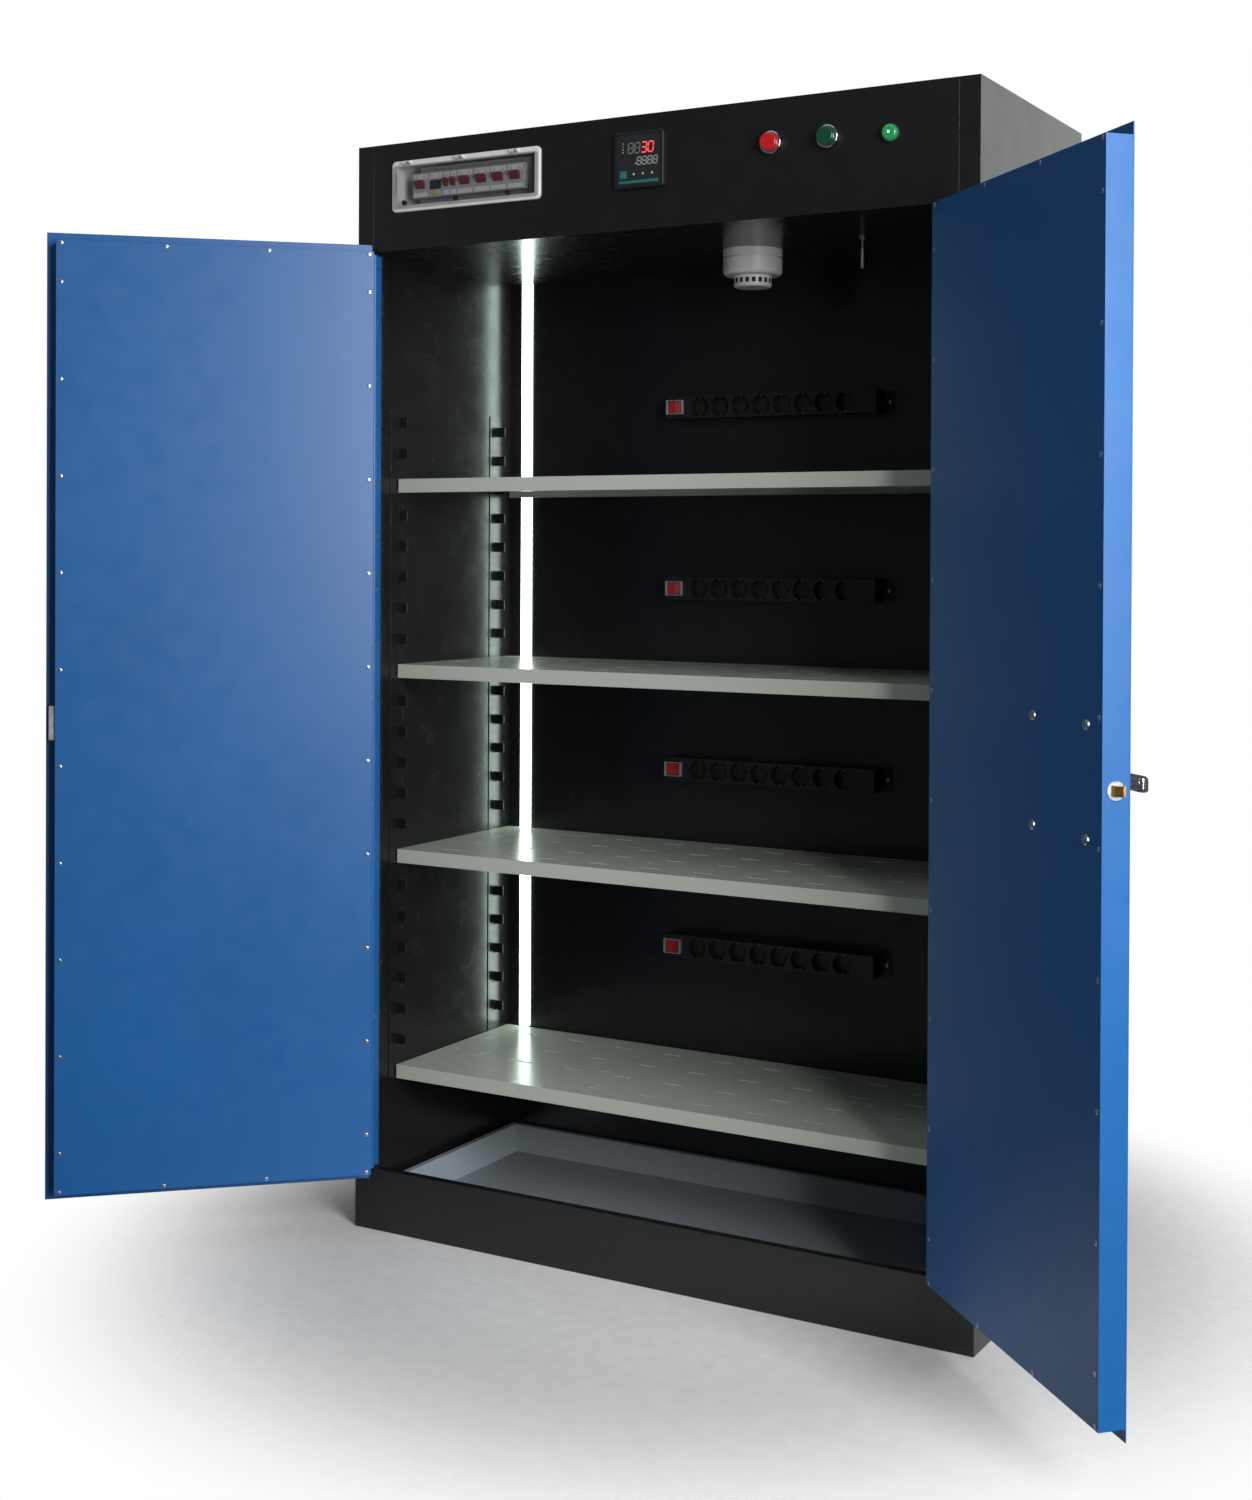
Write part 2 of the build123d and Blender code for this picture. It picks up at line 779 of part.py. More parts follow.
def breaker_frame():
    """White ring on the header with a box behind it that carries the breakers."""
    outer = block(
        px(window_left), px(window_right), ring_front, front, window_bottom, window_top,
    )
    outer = fillet(outer.edges().filter_by(Axis.Y), 9)
    outer = fillet(outer.faces().sort_by(Axis.Y)[0].edges(), 2.0)
    x0 = px(window_left + window_ring - 2.5)
    x1 = px(window_right - window_ring + 2.5)
    z0 = window_bottom + window_ring - 2.5
    z1 = window_top - window_ring + 2.5
    sleeve = block(x0, x1, front, py(sheet + 3), z0, z1)
    box_y1 = py(window_box_depth)
    case = block(x0, x1, py(sheet + 1.0), box_y1, z0 - 12, z1 + 12)
    wall = window_box_wall
    inside = block(x0 + wall, x1 - wall, py(sheet + 1.0 + wall), box_y1 - wall, z0 - 12 + wall, z1 + 12 - wall)
    hole = block(
        px(window_left + window_ring), px(window_right - window_ring),
        ring_front - 1, py(sheet + 1.0 + wall) + 0.1,
        window_bottom + window_ring, window_top - window_ring,
    )
    frame = (outer + sleeve + case) - [inside, hole]
    lugs = []
    for x in cover_hinge_x:
        for side in (-1, 1):
            x_mid = px(x) + side * 7.0
            lugs.append(block(x_mid - 1.5, x_mid + 1.5, cover_axis_y, ring_front + 1, cover_axis_z - 2.5,
                              cover_axis_z + 2.5))
            lugs.append(rod_x(x_mid - 1.5, x_mid + 1.5, cover_axis_y, cover_axis_z, 2.5))
    frame = frame + lugs
    bores = [rod_x(px(x) - 10, px(x) + 10, cover_axis_y, cover_axis_z, 1.05) for x in cover_hinge_x]
    return frame - bores


def breaker_cover():
    """Clear bulging cover with its hinge pins and three holes for the latches."""
    y0 = ring_front - 0.3
    x0 = px(cover_left)
    x1 = px(cover_right)
    rim = block(x0, x1, y0 - cover_thick, y0, cover_bottom, cover_top - 3)
    rim = fillet(rim.edges().filter_by(Axis.Y), 6)
    inset = 12.0
    mid_x = (x0 + x1) / 2
    mid_z = (cover_bottom + 12 + cover_top - 3) / 2 + 2
    size_x = x1 - x0 - 2 * inset
    size_z = cover_top - cover_bottom - 34
    facing = Plane((mid_x, y0 - cover_thick, mid_z), x_dir=(1, 0, 0), z_dir=(0, -1, 0))
    low = facing * Rectangle(size_x, size_z)
    high = facing.offset(cover_bulge - cover_thick) * Rectangle(size_x - 16, size_z - 12)
    bubble = loft([low.face(), high.face()])
    inner_low = facing.offset(-cover_thick - 0.01) * Rectangle(size_x - 3, size_z - 3)
    inner_high = facing.offset(cover_bulge - 2 * cover_thick) * Rectangle(size_x - 19, size_z - 15)
    hollow = loft([inner_low.face(), inner_high.face()])
    cover = (rim + bubble) - hollow
    arms = []
    for x in cover_hinge_x:
        arms.append(rod_x(px(x) - 8.4, px(x) + 8.4, cover_axis_y, cover_axis_z, 1.0))
        arms.append(rod_x(px(x) - 5, px(x) + 5, cover_axis_y, cover_axis_z, 2.2))
        arms.append(block(px(x) - 5, px(x) + 5, cover_axis_y - 2.0, y0, cover_axis_z - 8, cover_axis_z))
    cover = cover + arms
    holes = [rod_y(px(x), y0 - 10, y0 + 5, latch_z, 2.55) for x in cover_latch_x]
    return cover - holes


latch_z = cover_bottom + 10.0


def cover_latch(x):
    """Quarter-turn knob: a shank through the cover and a thumb bar."""
    y0 = ring_front - 0.3
    face = y0 - cover_thick
    knob = rod_y(px(x), face - 5, face - 0.05, latch_z, cover_latch_radius)
    shank = rod_y(px(x), face - 0.1, y0 + 0.1, latch_z, 2.5)
    bar = block(px(x) - 1.2, px(x) + 1.2, face - 7.5, face - 4, latch_z - 4.2, latch_z + 4.2)
    return knob + shank + bar


save(breaker_frame(), "breaker_frame")
save(breaker_cover(), "breaker_cover")
for number, x in enumerate(cover_latch_x, start=1):
    save(cover_latch(x), "cover_latch_" + str(number))

nose_front = py(sheet + 5.0)
nose_back = py(30.0)
breaker_back = py(window_box_depth - window_box_wall)
lever_axis_y = nose_front + 3.5


def breaker_spans():
    """Left and right X of every module."""
    x = px(breaker_first_x)
    for breadth in breaker_widths:
        yield x + breaker_gap / 2, x + breadth - breaker_gap / 2
        x += breadth


def breaker_module(x0, x1, with_lever):
    """Body on the back of the box, with a narrower nose towards the window."""
    half = breaker_body / 2
    body = block(x0, x1, nose_back, breaker_back, breaker_z - half + 3, breaker_z + half - 3)
    nose = block(x0, x1, nose_front, nose_back + 1, breaker_z - breaker_nose / 2, breaker_z + breaker_nose / 2)
    module = body + nose
    if not with_lever:
        return module
    inset = (x1 - x0) * 0.22
    pocket = rod_x(x0 + inset, x1 - inset, lever_axis_y, breaker_z, lever_hub_radius + lever_clearance)
    return module - pocket


def breaker_lever(x0, x1):
    """Hub in the nose with a toggle standing forward, in the raised position."""
    inset = (x1 - x0) * 0.22 + 0.1
    hub = rod_x(x0 + inset, x1 - inset, lever_axis_y, breaker_z, lever_hub_radius)
    toggle = block(x0 + inset, x1 - inset, lever_axis_y - 14, lever_axis_y, breaker_z - 2.5, breaker_z + 2.5)
    lever = hub + toggle
    turn = Pos(0, lever_axis_y, breaker_z) * Rot(-lever_angle / 2, 0, 0) * Pos(0, -lever_axis_y, -breaker_z)
    return turn * lever


modules = []
lever_number = 0
for (x0, x1), with_lever in zip(breaker_spans(), breaker_has_lever):
    modules.extend(breaker_module(x0, x1, with_lever).solids())
    if with_lever:
        lever_number += 1
        save(breaker_lever(x0, x1), "breaker_lever_" + str(lever_number))
save(Compound(modules), "breaker_bodies")


# ---------------------------------------------------------------------------
# Controller, buttons and lamp
# ---------------------------------------------------------------------------
def controller_case():
    """Square bezel over the plate and a body through it."""
    x = px(controller_x)
    half = controller_size / 2
    bezel = block(x - half, x + half, front - controller_out, front, controller_z - half, controller_z + half)
    bezel = fillet(bezel.edges().filter_by(Axis.Y), 4)
    bezel = fillet(bezel.faces().sort_by(Axis.Y)[0].edges(), 1.5)
    body_half = controller_body / 2
    body = block(x - body_half, x + body_half, front, py(controller_deep),
                 controller_z - body_half, controller_z + body_half)
    recess = block(x - half + 5, x + half - 5, front - controller_out - 1, front - controller_out + 2.5,
                   controller_z - half + 5, controller_z + half - 5)
    return bezel + body - recess


def controller_face():
    """Front panel in the bezel's recess."""
    x = px(controller_x)
    half = controller_size / 2 - 5.2
    y1 = front - controller_out + 2.5
    return block(x - half, x + half, y1 - 1.6, y1, controller_z - half, controller_z + half)


def bezels():
    rings = []
    for x in (stop_x, start_x):
        ring = rod_y(px(x), front - bezel_out, front, button_z, bezel_radius)
        ring = fillet(ring.faces().sort_by(Axis.Y)[0].edges(), 2.0)
        ring += rod_y(px(x), front, py(30), button_z, 11.0)
        ring -= rod_y(px(x), front - bezel_out - 1, front - 1.0, button_z, button_radius + 0.08)
        ring -= rod_y(px(x), front - 2, py(28), button_z, 8.05)
        rings.append(ring)
    lamp_ring = rod_y(px(lamp_x), front - 3.5, front, lamp_z, lamp_radius)
    lamp_ring += rod_y(px(lamp_x), front, py(30), lamp_z, 11.0)
    lamp_ring -= rod_y(px(lamp_x), front - 4, py(12), lamp_z, 9.0)
    rings.append(lamp_ring)
    return Compound([solid for ring in rings for solid in ring.solids()])


def push_button(x):
    cap_back = front - 1.0 - button_travel - 0.6
    cap = rod_y(px(x), front - button_out, cap_back, button_z, button_radius)
    cap = fillet(cap.faces().sort_by(Axis.Y)[0].edges(), 2.5)
    stem = rod_y(px(x), cap_back, py(20), button_z, 8.0)
    return cap + stem


def pilot_lamp():
    stem = rod_y(px(lamp_x), front - 3.5, py(12), lamp_z, 8.9)
    lens = rod_y(px(lamp_x), front - 13, front - 3.8, lamp_z, lamp_radius - 1.0)
    lens = fillet(lens.faces().sort_by(Axis.Y)[0].edges(), 5.0)
    neck = rod_y(px(lamp_x), front - 4.0, front - 3.4, lamp_z, 8.9)
    return lens + neck + stem


save(controller_case(), "controller_case")
save(controller_face(), "controller_face")
save(bezels(), "button_bezels")
save(push_button(stop_x), "stop_button")
save(push_button(start_x), "start_button")
save(pilot_lamp(), "pilot_lamp")


# ---------------------------------------------------------------------------
# Ceiling fittings and gland
# ---------------------------------------------------------------------------
def smoke_detector():
    """Base, narrow gap, domed body and slotted sensing head."""
    x = px(detector_x)
    y = py(detector_y)
    base_z = header_bottom - detector_base
    body_z = base_z - detector_gap
    head_z = body_z - detector_body
    base = rod_z(x, y, base_z, header_bottom, detector_radius)
    neck = rod_z(x, y, body_z, base_z, detector_radius - 5)
    body = rod_z(x, y, head_z, body_z, detector_radius)
    body = fillet(body.faces().sort_by(Axis.Z)[0].edges(), 9)
    head = rod_z(x, y, head_z - detector_head, head_z, detector_radius * 0.64)
    head = fillet(head.faces().sort_by(Axis.Z)[0].edges(), 5)
    return base + neck + body + head


def temperature_probe():
    x = px(probe_x)
    y = py(probe_y)
    stem = rod_z(x, y, probe_tip_z + 35.0, header_bottom, probe_radius * 0.6)
    sleeve = rod_z(x, y, probe_tip_z, probe_tip_z + 35.0, probe_radius)
    flange = rod_z(x, y, header_bottom - 4, header_bottom, probe_radius * 2)
    return stem + sleeve + flange


def cable_gland():
    """Gland with a blanking plug through the roof sheet."""
    x = px(gland_x)
    y = py(gland_y)
    low = height - sheet
    hexagon = RegularPolygon(gland_radius + 5, 6)
    body = rod_z(x, y, low - 12, height, gland_radius)
    nut = extrude(Pos(x, y, low - 7) * hexagon, 7)
    collar = extrude(Pos(x, y, height) * hexagon, 7)
    dome = rod_z(x, y, height + 7, height + 22, gland_radius + 1.5)
    dome = fillet(dome.faces().sort_by(Axis.Z)[-1].edges(), 4)
    return body + nut + collar + dome


save(smoke_detector(), "smoke_detector")
save(temperature_probe(), "temperature_probe")
save(cable_gland(), "cable_gland")
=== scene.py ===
"""Looks of the battery cabinet: finishes, fine fittings, studio and camera."""

import json
import logging
import math
from dataclasses import dataclass, field
from enum import Enum

import bmesh
import bpy
import numpy as np
from mathutils import Matrix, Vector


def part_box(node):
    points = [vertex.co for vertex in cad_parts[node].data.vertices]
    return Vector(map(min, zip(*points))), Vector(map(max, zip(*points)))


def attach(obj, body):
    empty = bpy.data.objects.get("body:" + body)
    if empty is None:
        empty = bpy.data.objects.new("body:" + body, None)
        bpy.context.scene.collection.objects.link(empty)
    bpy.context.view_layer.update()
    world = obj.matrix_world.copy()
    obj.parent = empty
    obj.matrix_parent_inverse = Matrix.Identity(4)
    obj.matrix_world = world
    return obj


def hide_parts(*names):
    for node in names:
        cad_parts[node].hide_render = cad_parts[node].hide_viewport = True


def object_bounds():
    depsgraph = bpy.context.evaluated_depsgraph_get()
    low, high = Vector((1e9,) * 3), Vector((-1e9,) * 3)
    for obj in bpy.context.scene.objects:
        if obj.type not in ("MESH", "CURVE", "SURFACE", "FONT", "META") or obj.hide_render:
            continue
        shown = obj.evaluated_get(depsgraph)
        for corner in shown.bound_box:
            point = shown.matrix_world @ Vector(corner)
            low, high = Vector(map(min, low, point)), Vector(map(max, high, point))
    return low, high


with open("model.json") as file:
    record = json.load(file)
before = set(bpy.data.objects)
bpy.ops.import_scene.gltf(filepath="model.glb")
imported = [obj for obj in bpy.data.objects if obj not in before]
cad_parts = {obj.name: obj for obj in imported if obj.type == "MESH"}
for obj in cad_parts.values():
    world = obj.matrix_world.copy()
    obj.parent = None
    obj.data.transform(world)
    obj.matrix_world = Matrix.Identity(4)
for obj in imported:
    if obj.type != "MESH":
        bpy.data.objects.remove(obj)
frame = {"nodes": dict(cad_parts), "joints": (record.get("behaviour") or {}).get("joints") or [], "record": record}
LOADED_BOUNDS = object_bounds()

log = logging.getLogger("battery_cabinet")
MM = 0.001
Node = bpy.types.Node
Socket = bpy.types.NodeSocket


# ---------------------------------------------------------------------------
# Colour and node helpers
# ---------------------------------------------------------------------------
def linear(colour: str) -> tuple[float, float, float, float]:
    """Turn an sRGB hex colour into linear light.

    Args:
        colour: Hash sign and six hex digits.

    Returns:
        Linear red, green, blue and an alpha of one.
    """
    srgb = np.array([int(colour[i : i + 2], 16) for i in (1, 3, 5)]) / 255.0
    low = srgb / 12.92
    high = ((srgb + 0.055) / 1.055) ** 2.4
    red, green, blue = np.where(srgb <= 0.04045, low, high).tolist()
    return red, green, blue, 1.0


def add(tree: bpy.types.NodeTree, kind: str, inputs: dict | None = None, **settings) -> Node:
    """Add a node, set its properties and feed its inputs.

    Args:
        tree: Tree that receives the node.
        kind: Node type name.
        inputs: Input name or number to a value, or to a socket that is linked.
        settings: Node properties.

    Returns:
        The new node.
    """
    node = tree.nodes.new(kind)
    for name, value in settings.items():
        setattr(node, name, value)
    for name, value in (inputs or {}).items():
        if isinstance(value, Socket):
            tree.links.new(value, node.inputs[name])
        else:
            node.inputs[name].default_value = value
    return node


def place_in_mm(tree: bpy.types.NodeTree, stretch: tuple[float, float, float] = (1, 1, 1)) -> Socket:
    """Object coordinates counted in millimetres, stretched along the axes."""
    where = add(tree, "ShaderNodeTexCoord")
    scale = [1000.0 * value for value in stretch]
    mapping = add(tree, "ShaderNodeMapping", {"Vector": where.outputs["Object"], "Scale": scale})
    return mapping.outputs["Vector"]


def noise(tree: bpy.types.NodeTree, vector: Socket, size_mm: float, detail: float = 2.0) -> Socket:
    """Smooth noise whose features are about size_mm across."""
    node = add(tree, "ShaderNodeTexNoise", {"Vector": vector, "Scale": 1.0 / size_mm, "Detail": detail})
    return node.outputs["Fac"]


def spread(tree: bpy.types.NodeTree, value: Socket, low: float, high: float) -> Socket:
    """Map a value around the middle of 0 to 1 onto low to high."""
    inputs = {"Value": value, "From Min": 0.3, "From Max": 0.7, "To Min": low, "To Max": high}
    return add(tree, "ShaderNodeMapRange", inputs).outputs["Result"]


def shaded(tree: bpy.types.NodeTree, colour: str, factor: Socket) -> Socket:
    """The colour multiplied by a brightness factor."""
    scale = add(tree, "ShaderNodeVectorMath", {0: linear(colour)[:3], "Scale": factor}, operation="SCALE")
    return scale.outputs["Vector"]


# ---------------------------------------------------------------------------
# Finishes
# ---------------------------------------------------------------------------
@dataclass(frozen=True)
class Finish:
    """A surface finish. Subclasses fill the shader's inputs."""

    name: str
    colour: str
    roughness: float = 0.4

    def build(self) -> bpy.types.Material:
        """Make the material.

        Returns:
            A material with one principled shader.
        """
        material = bpy.data.materials.new(self.name)
        material.use_nodes = True
        tree = material.node_tree
        tree.nodes.clear()
        shader = add(tree, "ShaderNodeBsdfPrincipled")
        shader.inputs["Base Color"].default_value = linear(self.colour)
        shader.inputs["Roughness"].default_value = self.roughness
        material.diffuse_color = linear(self.colour)
        self.dress(tree, shader)
        add(tree, "ShaderNodeOutputMaterial", {"Surface": shader.outputs["BSDF"]})
        return material

    def dress(self, tree: bpy.types.NodeTree, shader: Node) -> None:
        """Feed the shader's inputs from textures."""
        raise NotImplementedError

    def relief(
        self, tree: bpy.types.NodeTree, height: Socket, depth_mm: float, normal: Socket | None = None
    ) -> Socket:
        """Bump of a given depth in millimetres."""
        inputs: dict = {"Height": height, "Distance": depth_mm * MM, "Strength": 1.0}
        if normal is not None:
            inputs["Normal"] = normal
        return add(tree, "ShaderNodeBump", inputs).outputs["Normal"]


@dataclass(frozen=True)
class PowderCoat(Finish):
    """Baked powder paint with orange peel, softened edges and a faint tone drift."""

    peel_mm: float = 1.6
    peel_depth_mm: float = 0.012
    drift: float = 0.04
    edge_mm: float = 0.9

    def dress(self, tree: bpy.types.NodeTree, shader: Node) -> None:
        where = place_in_mm(tree)
        tone = spread(tree, noise(tree, where, 260.0, 3.0), 1 - self.drift, 1 + self.drift)
        wear = spread(tree, noise(tree, where, 45.0, 4.0), self.roughness - 0.03, self.roughness + 0.04)
        edge = add(tree, "ShaderNodeBevel", {"Radius": self.edge_mm * MM}, samples=4)
        peel = noise(tree, where, self.peel_mm, 1.0)
        normal = self.relief(tree, peel, self.peel_depth_mm, edge.outputs["Normal"])
        tree.links.new(shaded(tree, self.colour, tone), shader.inputs["Base Color"])
        tree.links.new(wear, shader.inputs["Roughness"])
        tree.links.new(normal, shader.inputs["Normal"])


@dataclass(frozen=True)
class BareMetal(Finish):
    """Steel or brass with fine scratches along one direction."""

    grain: tuple[float, float, float] = (1.0, 1.0, 0.06)
    grain_mm: float = 0.5
    depth_mm: float = 0.002

    def dress(self, tree: bpy.types.NodeTree, shader: Node) -> None:
        shader.inputs["Metallic"].default_value = 1.0
        where = place_in_mm(tree, self.grain)
        lines = noise(tree, where, self.grain_mm, 3.0)
        stain = noise(tree, place_in_mm(tree), 14.0, 3.0)
        rough = spread(tree, stain, self.roughness - 0.04, self.roughness + 0.07)
        tone = spread(tree, stain, 0.93, 1.04)
        tree.links.new(shaded(tree, self.colour, tone), shader.inputs["Base Color"])
        tree.links.new(rough, shader.inputs["Roughness"])
        tree.links.new(self.relief(tree, lines, self.depth_mm), shader.inputs["Normal"])


@dataclass(frozen=True)
class Plastic(Finish):
    """Moulded plastic with a fine grain."""

    grain_mm: float = 0.35
    depth_mm: float = 0.006
    coat: float = 0.0

    def dress(self, tree: bpy.types.NodeTree, shader: Node) -> None:
        shader.inputs["Coat Weight"].default_value = self.coat
        where = place_in_mm(tree)
        cloud = noise(tree, where, 30.0, 3.0)
        tone = spread(tree, cloud, 0.96, 1.04)
        rough = spread(tree, cloud, self.roughness - 0.03, self.roughness + 0.05)
        grain = noise(tree, where, self.grain_mm, 1.0)
        tree.links.new(shaded(tree, self.colour, tone), shader.inputs["Base Color"])
        tree.links.new(rough, shader.inputs["Roughness"])
        tree.links.new(self.relief(tree, grain, self.depth_mm), shader.inputs["Normal"])


@dataclass(frozen=True)
class ClearPlastic(Plastic):
    """Smoky see-through polycarbonate: most light goes straight through."""

    cover: float = 0.3

    def dress(self, tree: bpy.types.NodeTree, shader: Node) -> None:
        super().dress(tree, shader)
        shader.inputs["Alpha"].default_value = self.cover
        shader.inputs["IOR"].default_value = 1.58


@dataclass(frozen=True)
class Glowing(Plastic):
    """Plastic that also gives light, such as a lit segment or a lamp's lens; it also draws a glowing spot of painted
    highlight.
    """

    glow: str = "#FFFFFF"
    strength: float = 1.0

    def dress(self, tree: bpy.types.NodeTree, shader: Node) -> None:
        super().dress(tree, shader)
        shader.inputs["Emission Color"].default_value = linear(self.glow)
        shader.inputs["Emission Strength"].default_value = self.strength


@dataclass(frozen=True)
class DiodeTape(Glowing):
    """Diffuser over a row of diodes: brighter over each diode along Z."""

    pitch_mm: float = 16.7

    def dress(self, tree: bpy.types.NodeTree, shader: Node) -> None:
        super().dress(tree, shader)
        split = add(tree, "ShaderNodeSeparateXYZ", {"Vector": place_in_mm(tree)})
        turn = {0: split.outputs["Z"], 1: 2 * math.pi / self.pitch_mm}
        turns = add(tree, "ShaderNodeMath", turn, operation="MULTIPLY")
        wave = add(tree, "ShaderNodeMath", {0: turns.outputs["Value"]}, operation="COSINE")
        inputs = {
            "Value": wave.outputs["Value"],
            "From Min": -1.0,
            "From Max": 1.0,
            "To Min": self.strength * 0.85,
            "To Max": self.strength * 1.1,
        }
        light = add(tree, "ShaderNodeMapRange", inputs)
        tree.links.new(light.outputs["Result"], shader.inputs["Emission Strength"])


class Look(Enum):
    """Every finish used, each named for what the surface is made of, apart from the painted shade in holes and the
    painted highlight on the pilot lamp's lens.
    """

    BODY = PowderCoat("black satin powder coat", "#161617", 0.25)
    DOOR = PowderCoat("blue satin powder coat", "#1A5FA0", 0.34)
    SHELF = PowderCoat("light grey powder coat", "#BCC2B6", 0.24, drift=0.02)
    TRAY = PowderCoat("pale grey powder coat", "#98A2A9", 0.38, drift=0.02)
    ZINC = BareMetal("zinc plated steel", "#BFC2C6", 0.32)
    CHROME = BareMetal("polished chrome", "#D9DBDE", 0.1, grain_mm=2.0, depth_mm=0.0005)
    BRASS = BareMetal("stamped brass", "#C8A250", 0.3)
    BOLT = BareMetal("brass plated steel", "#C8A250", 0.3)
    BLACK_PLASTIC = Plastic("black moulded plastic", "#15161A", 0.42)
    # Near-black painted shade for cross recesses, socket pin holes and detector vent slots.
    DARK_HOLE = Plastic("inside of a hole in black plastic", "#060607", 0.8)
    ROCKER = Plastic("red translucent rocker", "#B01E28", 0.28, coat=0.4)
    CLEAR = ClearPlastic("smoky polycarbonate", "#30363A", 0.07, depth_mm=0.0, coat=0.5, cover=0.18)
    GUARD = ClearPlastic("clear switch guard", "#C8D0D2", 0.1, depth_mm=0.0, cover=0.35)
    WHITE = Plastic("white moulded plastic", "#DEDED9", 0.38)
    GREY = Plastic("light grey breaker plastic", "#A7AAAC", 0.42)
    LABEL = Plastic("printed white label", "#D6D8D6", 0.6)
    LEVER = Plastic("dark red lever plastic", "#7A1822", 0.3, coat=0.3)
    YELLOW = Plastic("yellow button plastic", "#D8B22A", 0.35)
    SMOKED = Plastic("smoked meter window", "#1A1E22", 0.12, coat=0.6)
    FACE = Plastic("dark display film", "#23272A", 0.22, depth_mm=0.001, coat=0.3)
    TEAL = Plastic("turquoise printed film", "#2C6B64", 0.35)
    PRINT = Plastic("pale print", "#C9CFD0", 0.5)
    DIM = Plastic("unlit display segment", "#6E6F68", 0.4)
    OLIVE = Glowing("dim grey segment", "#7C8078", 0.4, glow="#8C9084", strength=0.3)
    LIT_RED = Glowing("lit red segment", "#E8404A", 0.3, glow="#E8404A", strength=1.3)
    STOP = Plastic("red push button", "#B51820", 0.25, coat=0.6)
    START = Plastic("dark green push button", "#0A4429", 0.25, coat=0.6)
    LAMP = Glowing("lit green lens", "#1C8048", 0.2, coat=0.6, glow="#3BE07E", strength=0.1)
    # Glowing spot of painted highlight on the pilot lamp's lens.
    GLINT = Glowing("lit diode behind a lens", "#D8FFE6", 0.3, glow="#D8FFE6", strength=1.4)
    LED = DiodeTape("white diode tape", "#F4FBF6", 0.5, glow="#E6FFF2", strength=7.0)
    STAGE = Plastic("pale studio floor", "#F2F2F0", 0.7)

    def material(self) -> bpy.types.Material:
        """The finish's material, made on first use."""
        return bpy.data.materials.get(self.value.name) or self.value.build()


# ---------------------------------------------------------------------------
# Shapes
# ---------------------------------------------------------------------------
@dataclass
class Shape:
    """A closed surface: points in metres and groups of faces of one size."""

    points: np.ndarray
    faces: list[np.ndarray] = field(default_factory=list)

    def moved(self, offset: np.ndarray | tuple, turn: np.ndarray | None = None) -> "Shape":
        """The shape turned by a matrix, then shifted."""
        points = self.points if turn is None else self.points @ np.asarray(turn).T
        return Shape(points + np.asarray(offset, float), self.faces)

    def tiled(self, offsets: np.ndarray) -> "Shape":
        """One copy at every offset: the points are added to each offset in turn."""
        offsets = np.asarray(offsets, float).reshape(-1, 3)
        points = (offsets[:, None, :] + self.points[None, :, :]).reshape(-1, 3)
        step = np.arange(len(offsets)) * len(self.points)
        faces = [(group[None] + step[:, None, None]).reshape(-1, group.shape[1]) for group in self.faces]
        return Shape(points, faces)


def joined(*shapes: Shape) -> Shape:
    """Several shapes as one, each keeping its own closed surface."""
    starts = np.cumsum([0] + [len(shape.points) for shape in shapes[:-1]])
    faces = [group + start for shape, start in zip(shapes, starts) for group in shape.faces]
    return Shape(np.concatenate([shape.points for shape in shapes]), faces)


def cuboid(low: tuple, high: tuple, soft: float = 0.0) -> Shape:
    """A box, with its eight corners cut into small chamfers when soft is above zero.

    Args:
        low: Lowest corner in metres.
        high: Highest corner in metres.
        soft: Width of the chamfer in metres.

    Returns:
        A closed shape: three pulled-in copies of the box's corners, joined by edge strips.
    """
    low_corner, high_corner = np.minimum(low, high), np.maximum(low, high)
    signs = np.array([(x, y, z) for x in (0, 1) for y in (0, 1) for z in (0, 1)])
    corners = low_corner + signs * (high_corner - low_corner)
    if soft <= 0:
        quads = np.array([(0, 1, 3, 2), (4, 6, 7, 5), (0, 4, 5, 1), (2, 3, 7, 6), (0, 2, 6, 4), (1, 5, 7, 3)])
        return Shape(corners, [quads])
    pull = (1 - 2 * signs) * soft
    keep = 1 - np.eye(3)
    points = (corners[:, None, :] + pull[:, None, :] * keep[None]).reshape(-1, 3)
    index = np.arange(24).reshape(2, 2, 2, 3)
    loop = ((0, 0), (1, 0), (1, 1), (0, 1))
    sides = []
    for axis in range(3):
        spun = np.moveaxis(index[..., axis], axis, 0)
        sides += [[spun[(side, *pair)] for pair in loop] for side in (0, 1)]
    strips = []
    for axis in range(3):
        one, two = [other for other in range(3) if other != axis]
        spun = np.moveaxis(index, axis, 0)
        strips += [
            [spun[0, a, b, one], spun[1, a, b, one], spun[1, a, b, two], spun[0, a, b, two]] for a, b in loop
        ]
    return Shape(points, [np.array(sides + strips), index.reshape(8, 3)])


def lathe(profile: list[tuple[float, float]], segments: int = 32) -> Shape:
    """Turn a profile round Z.

    Args:
        profile: Radius and height pairs in metres. A first or last radius of zero is a closed pole.
        segments: Steps round the axis.

    Returns:
        A closed shape: each ring is the profile's radius times the cosine and sine of the angle.
    """
    rings = np.array(profile, float)
    angle = np.arange(segments) * 2 * math.pi / segments
    circle = np.stack([np.cos(angle), np.sin(angle)], 1)
    first, last = rings[0, 0] <= 0, rings[-1, 0] <= 0
    body = rings[int(first) : len(rings) - int(last)]
    grid = np.concatenate(
        [body[:, None, :1] * circle[None], np.broadcast_to(body[:, None, 1:], (len(body), segments, 1))], 2
    )
    points = grid.reshape(-1, 3)
    ring = np.arange(segments)
    after = np.roll(ring, -1)
    starts = (np.arange(len(body) - 1) * segments)[:, None]
    quads = np.stack([starts + ring, starts + after, starts + segments + after, starts + segments + ring], 2)
    faces = [quads.reshape(-1, 4)]
    top = (len(body) - 1) * segments
    for closed, base, height in ((first, 0, rings[0, 1]), (last, top, rings[-1, 1])):
        if closed:
            faces.append(np.stack([base + ring, base + after, np.full(segments, len(points))], 1))
            points = np.concatenate([points, [(0.0, 0.0, height)]])
        else:
            faces.append((base + ring)[None])
    return Shape(points, faces)


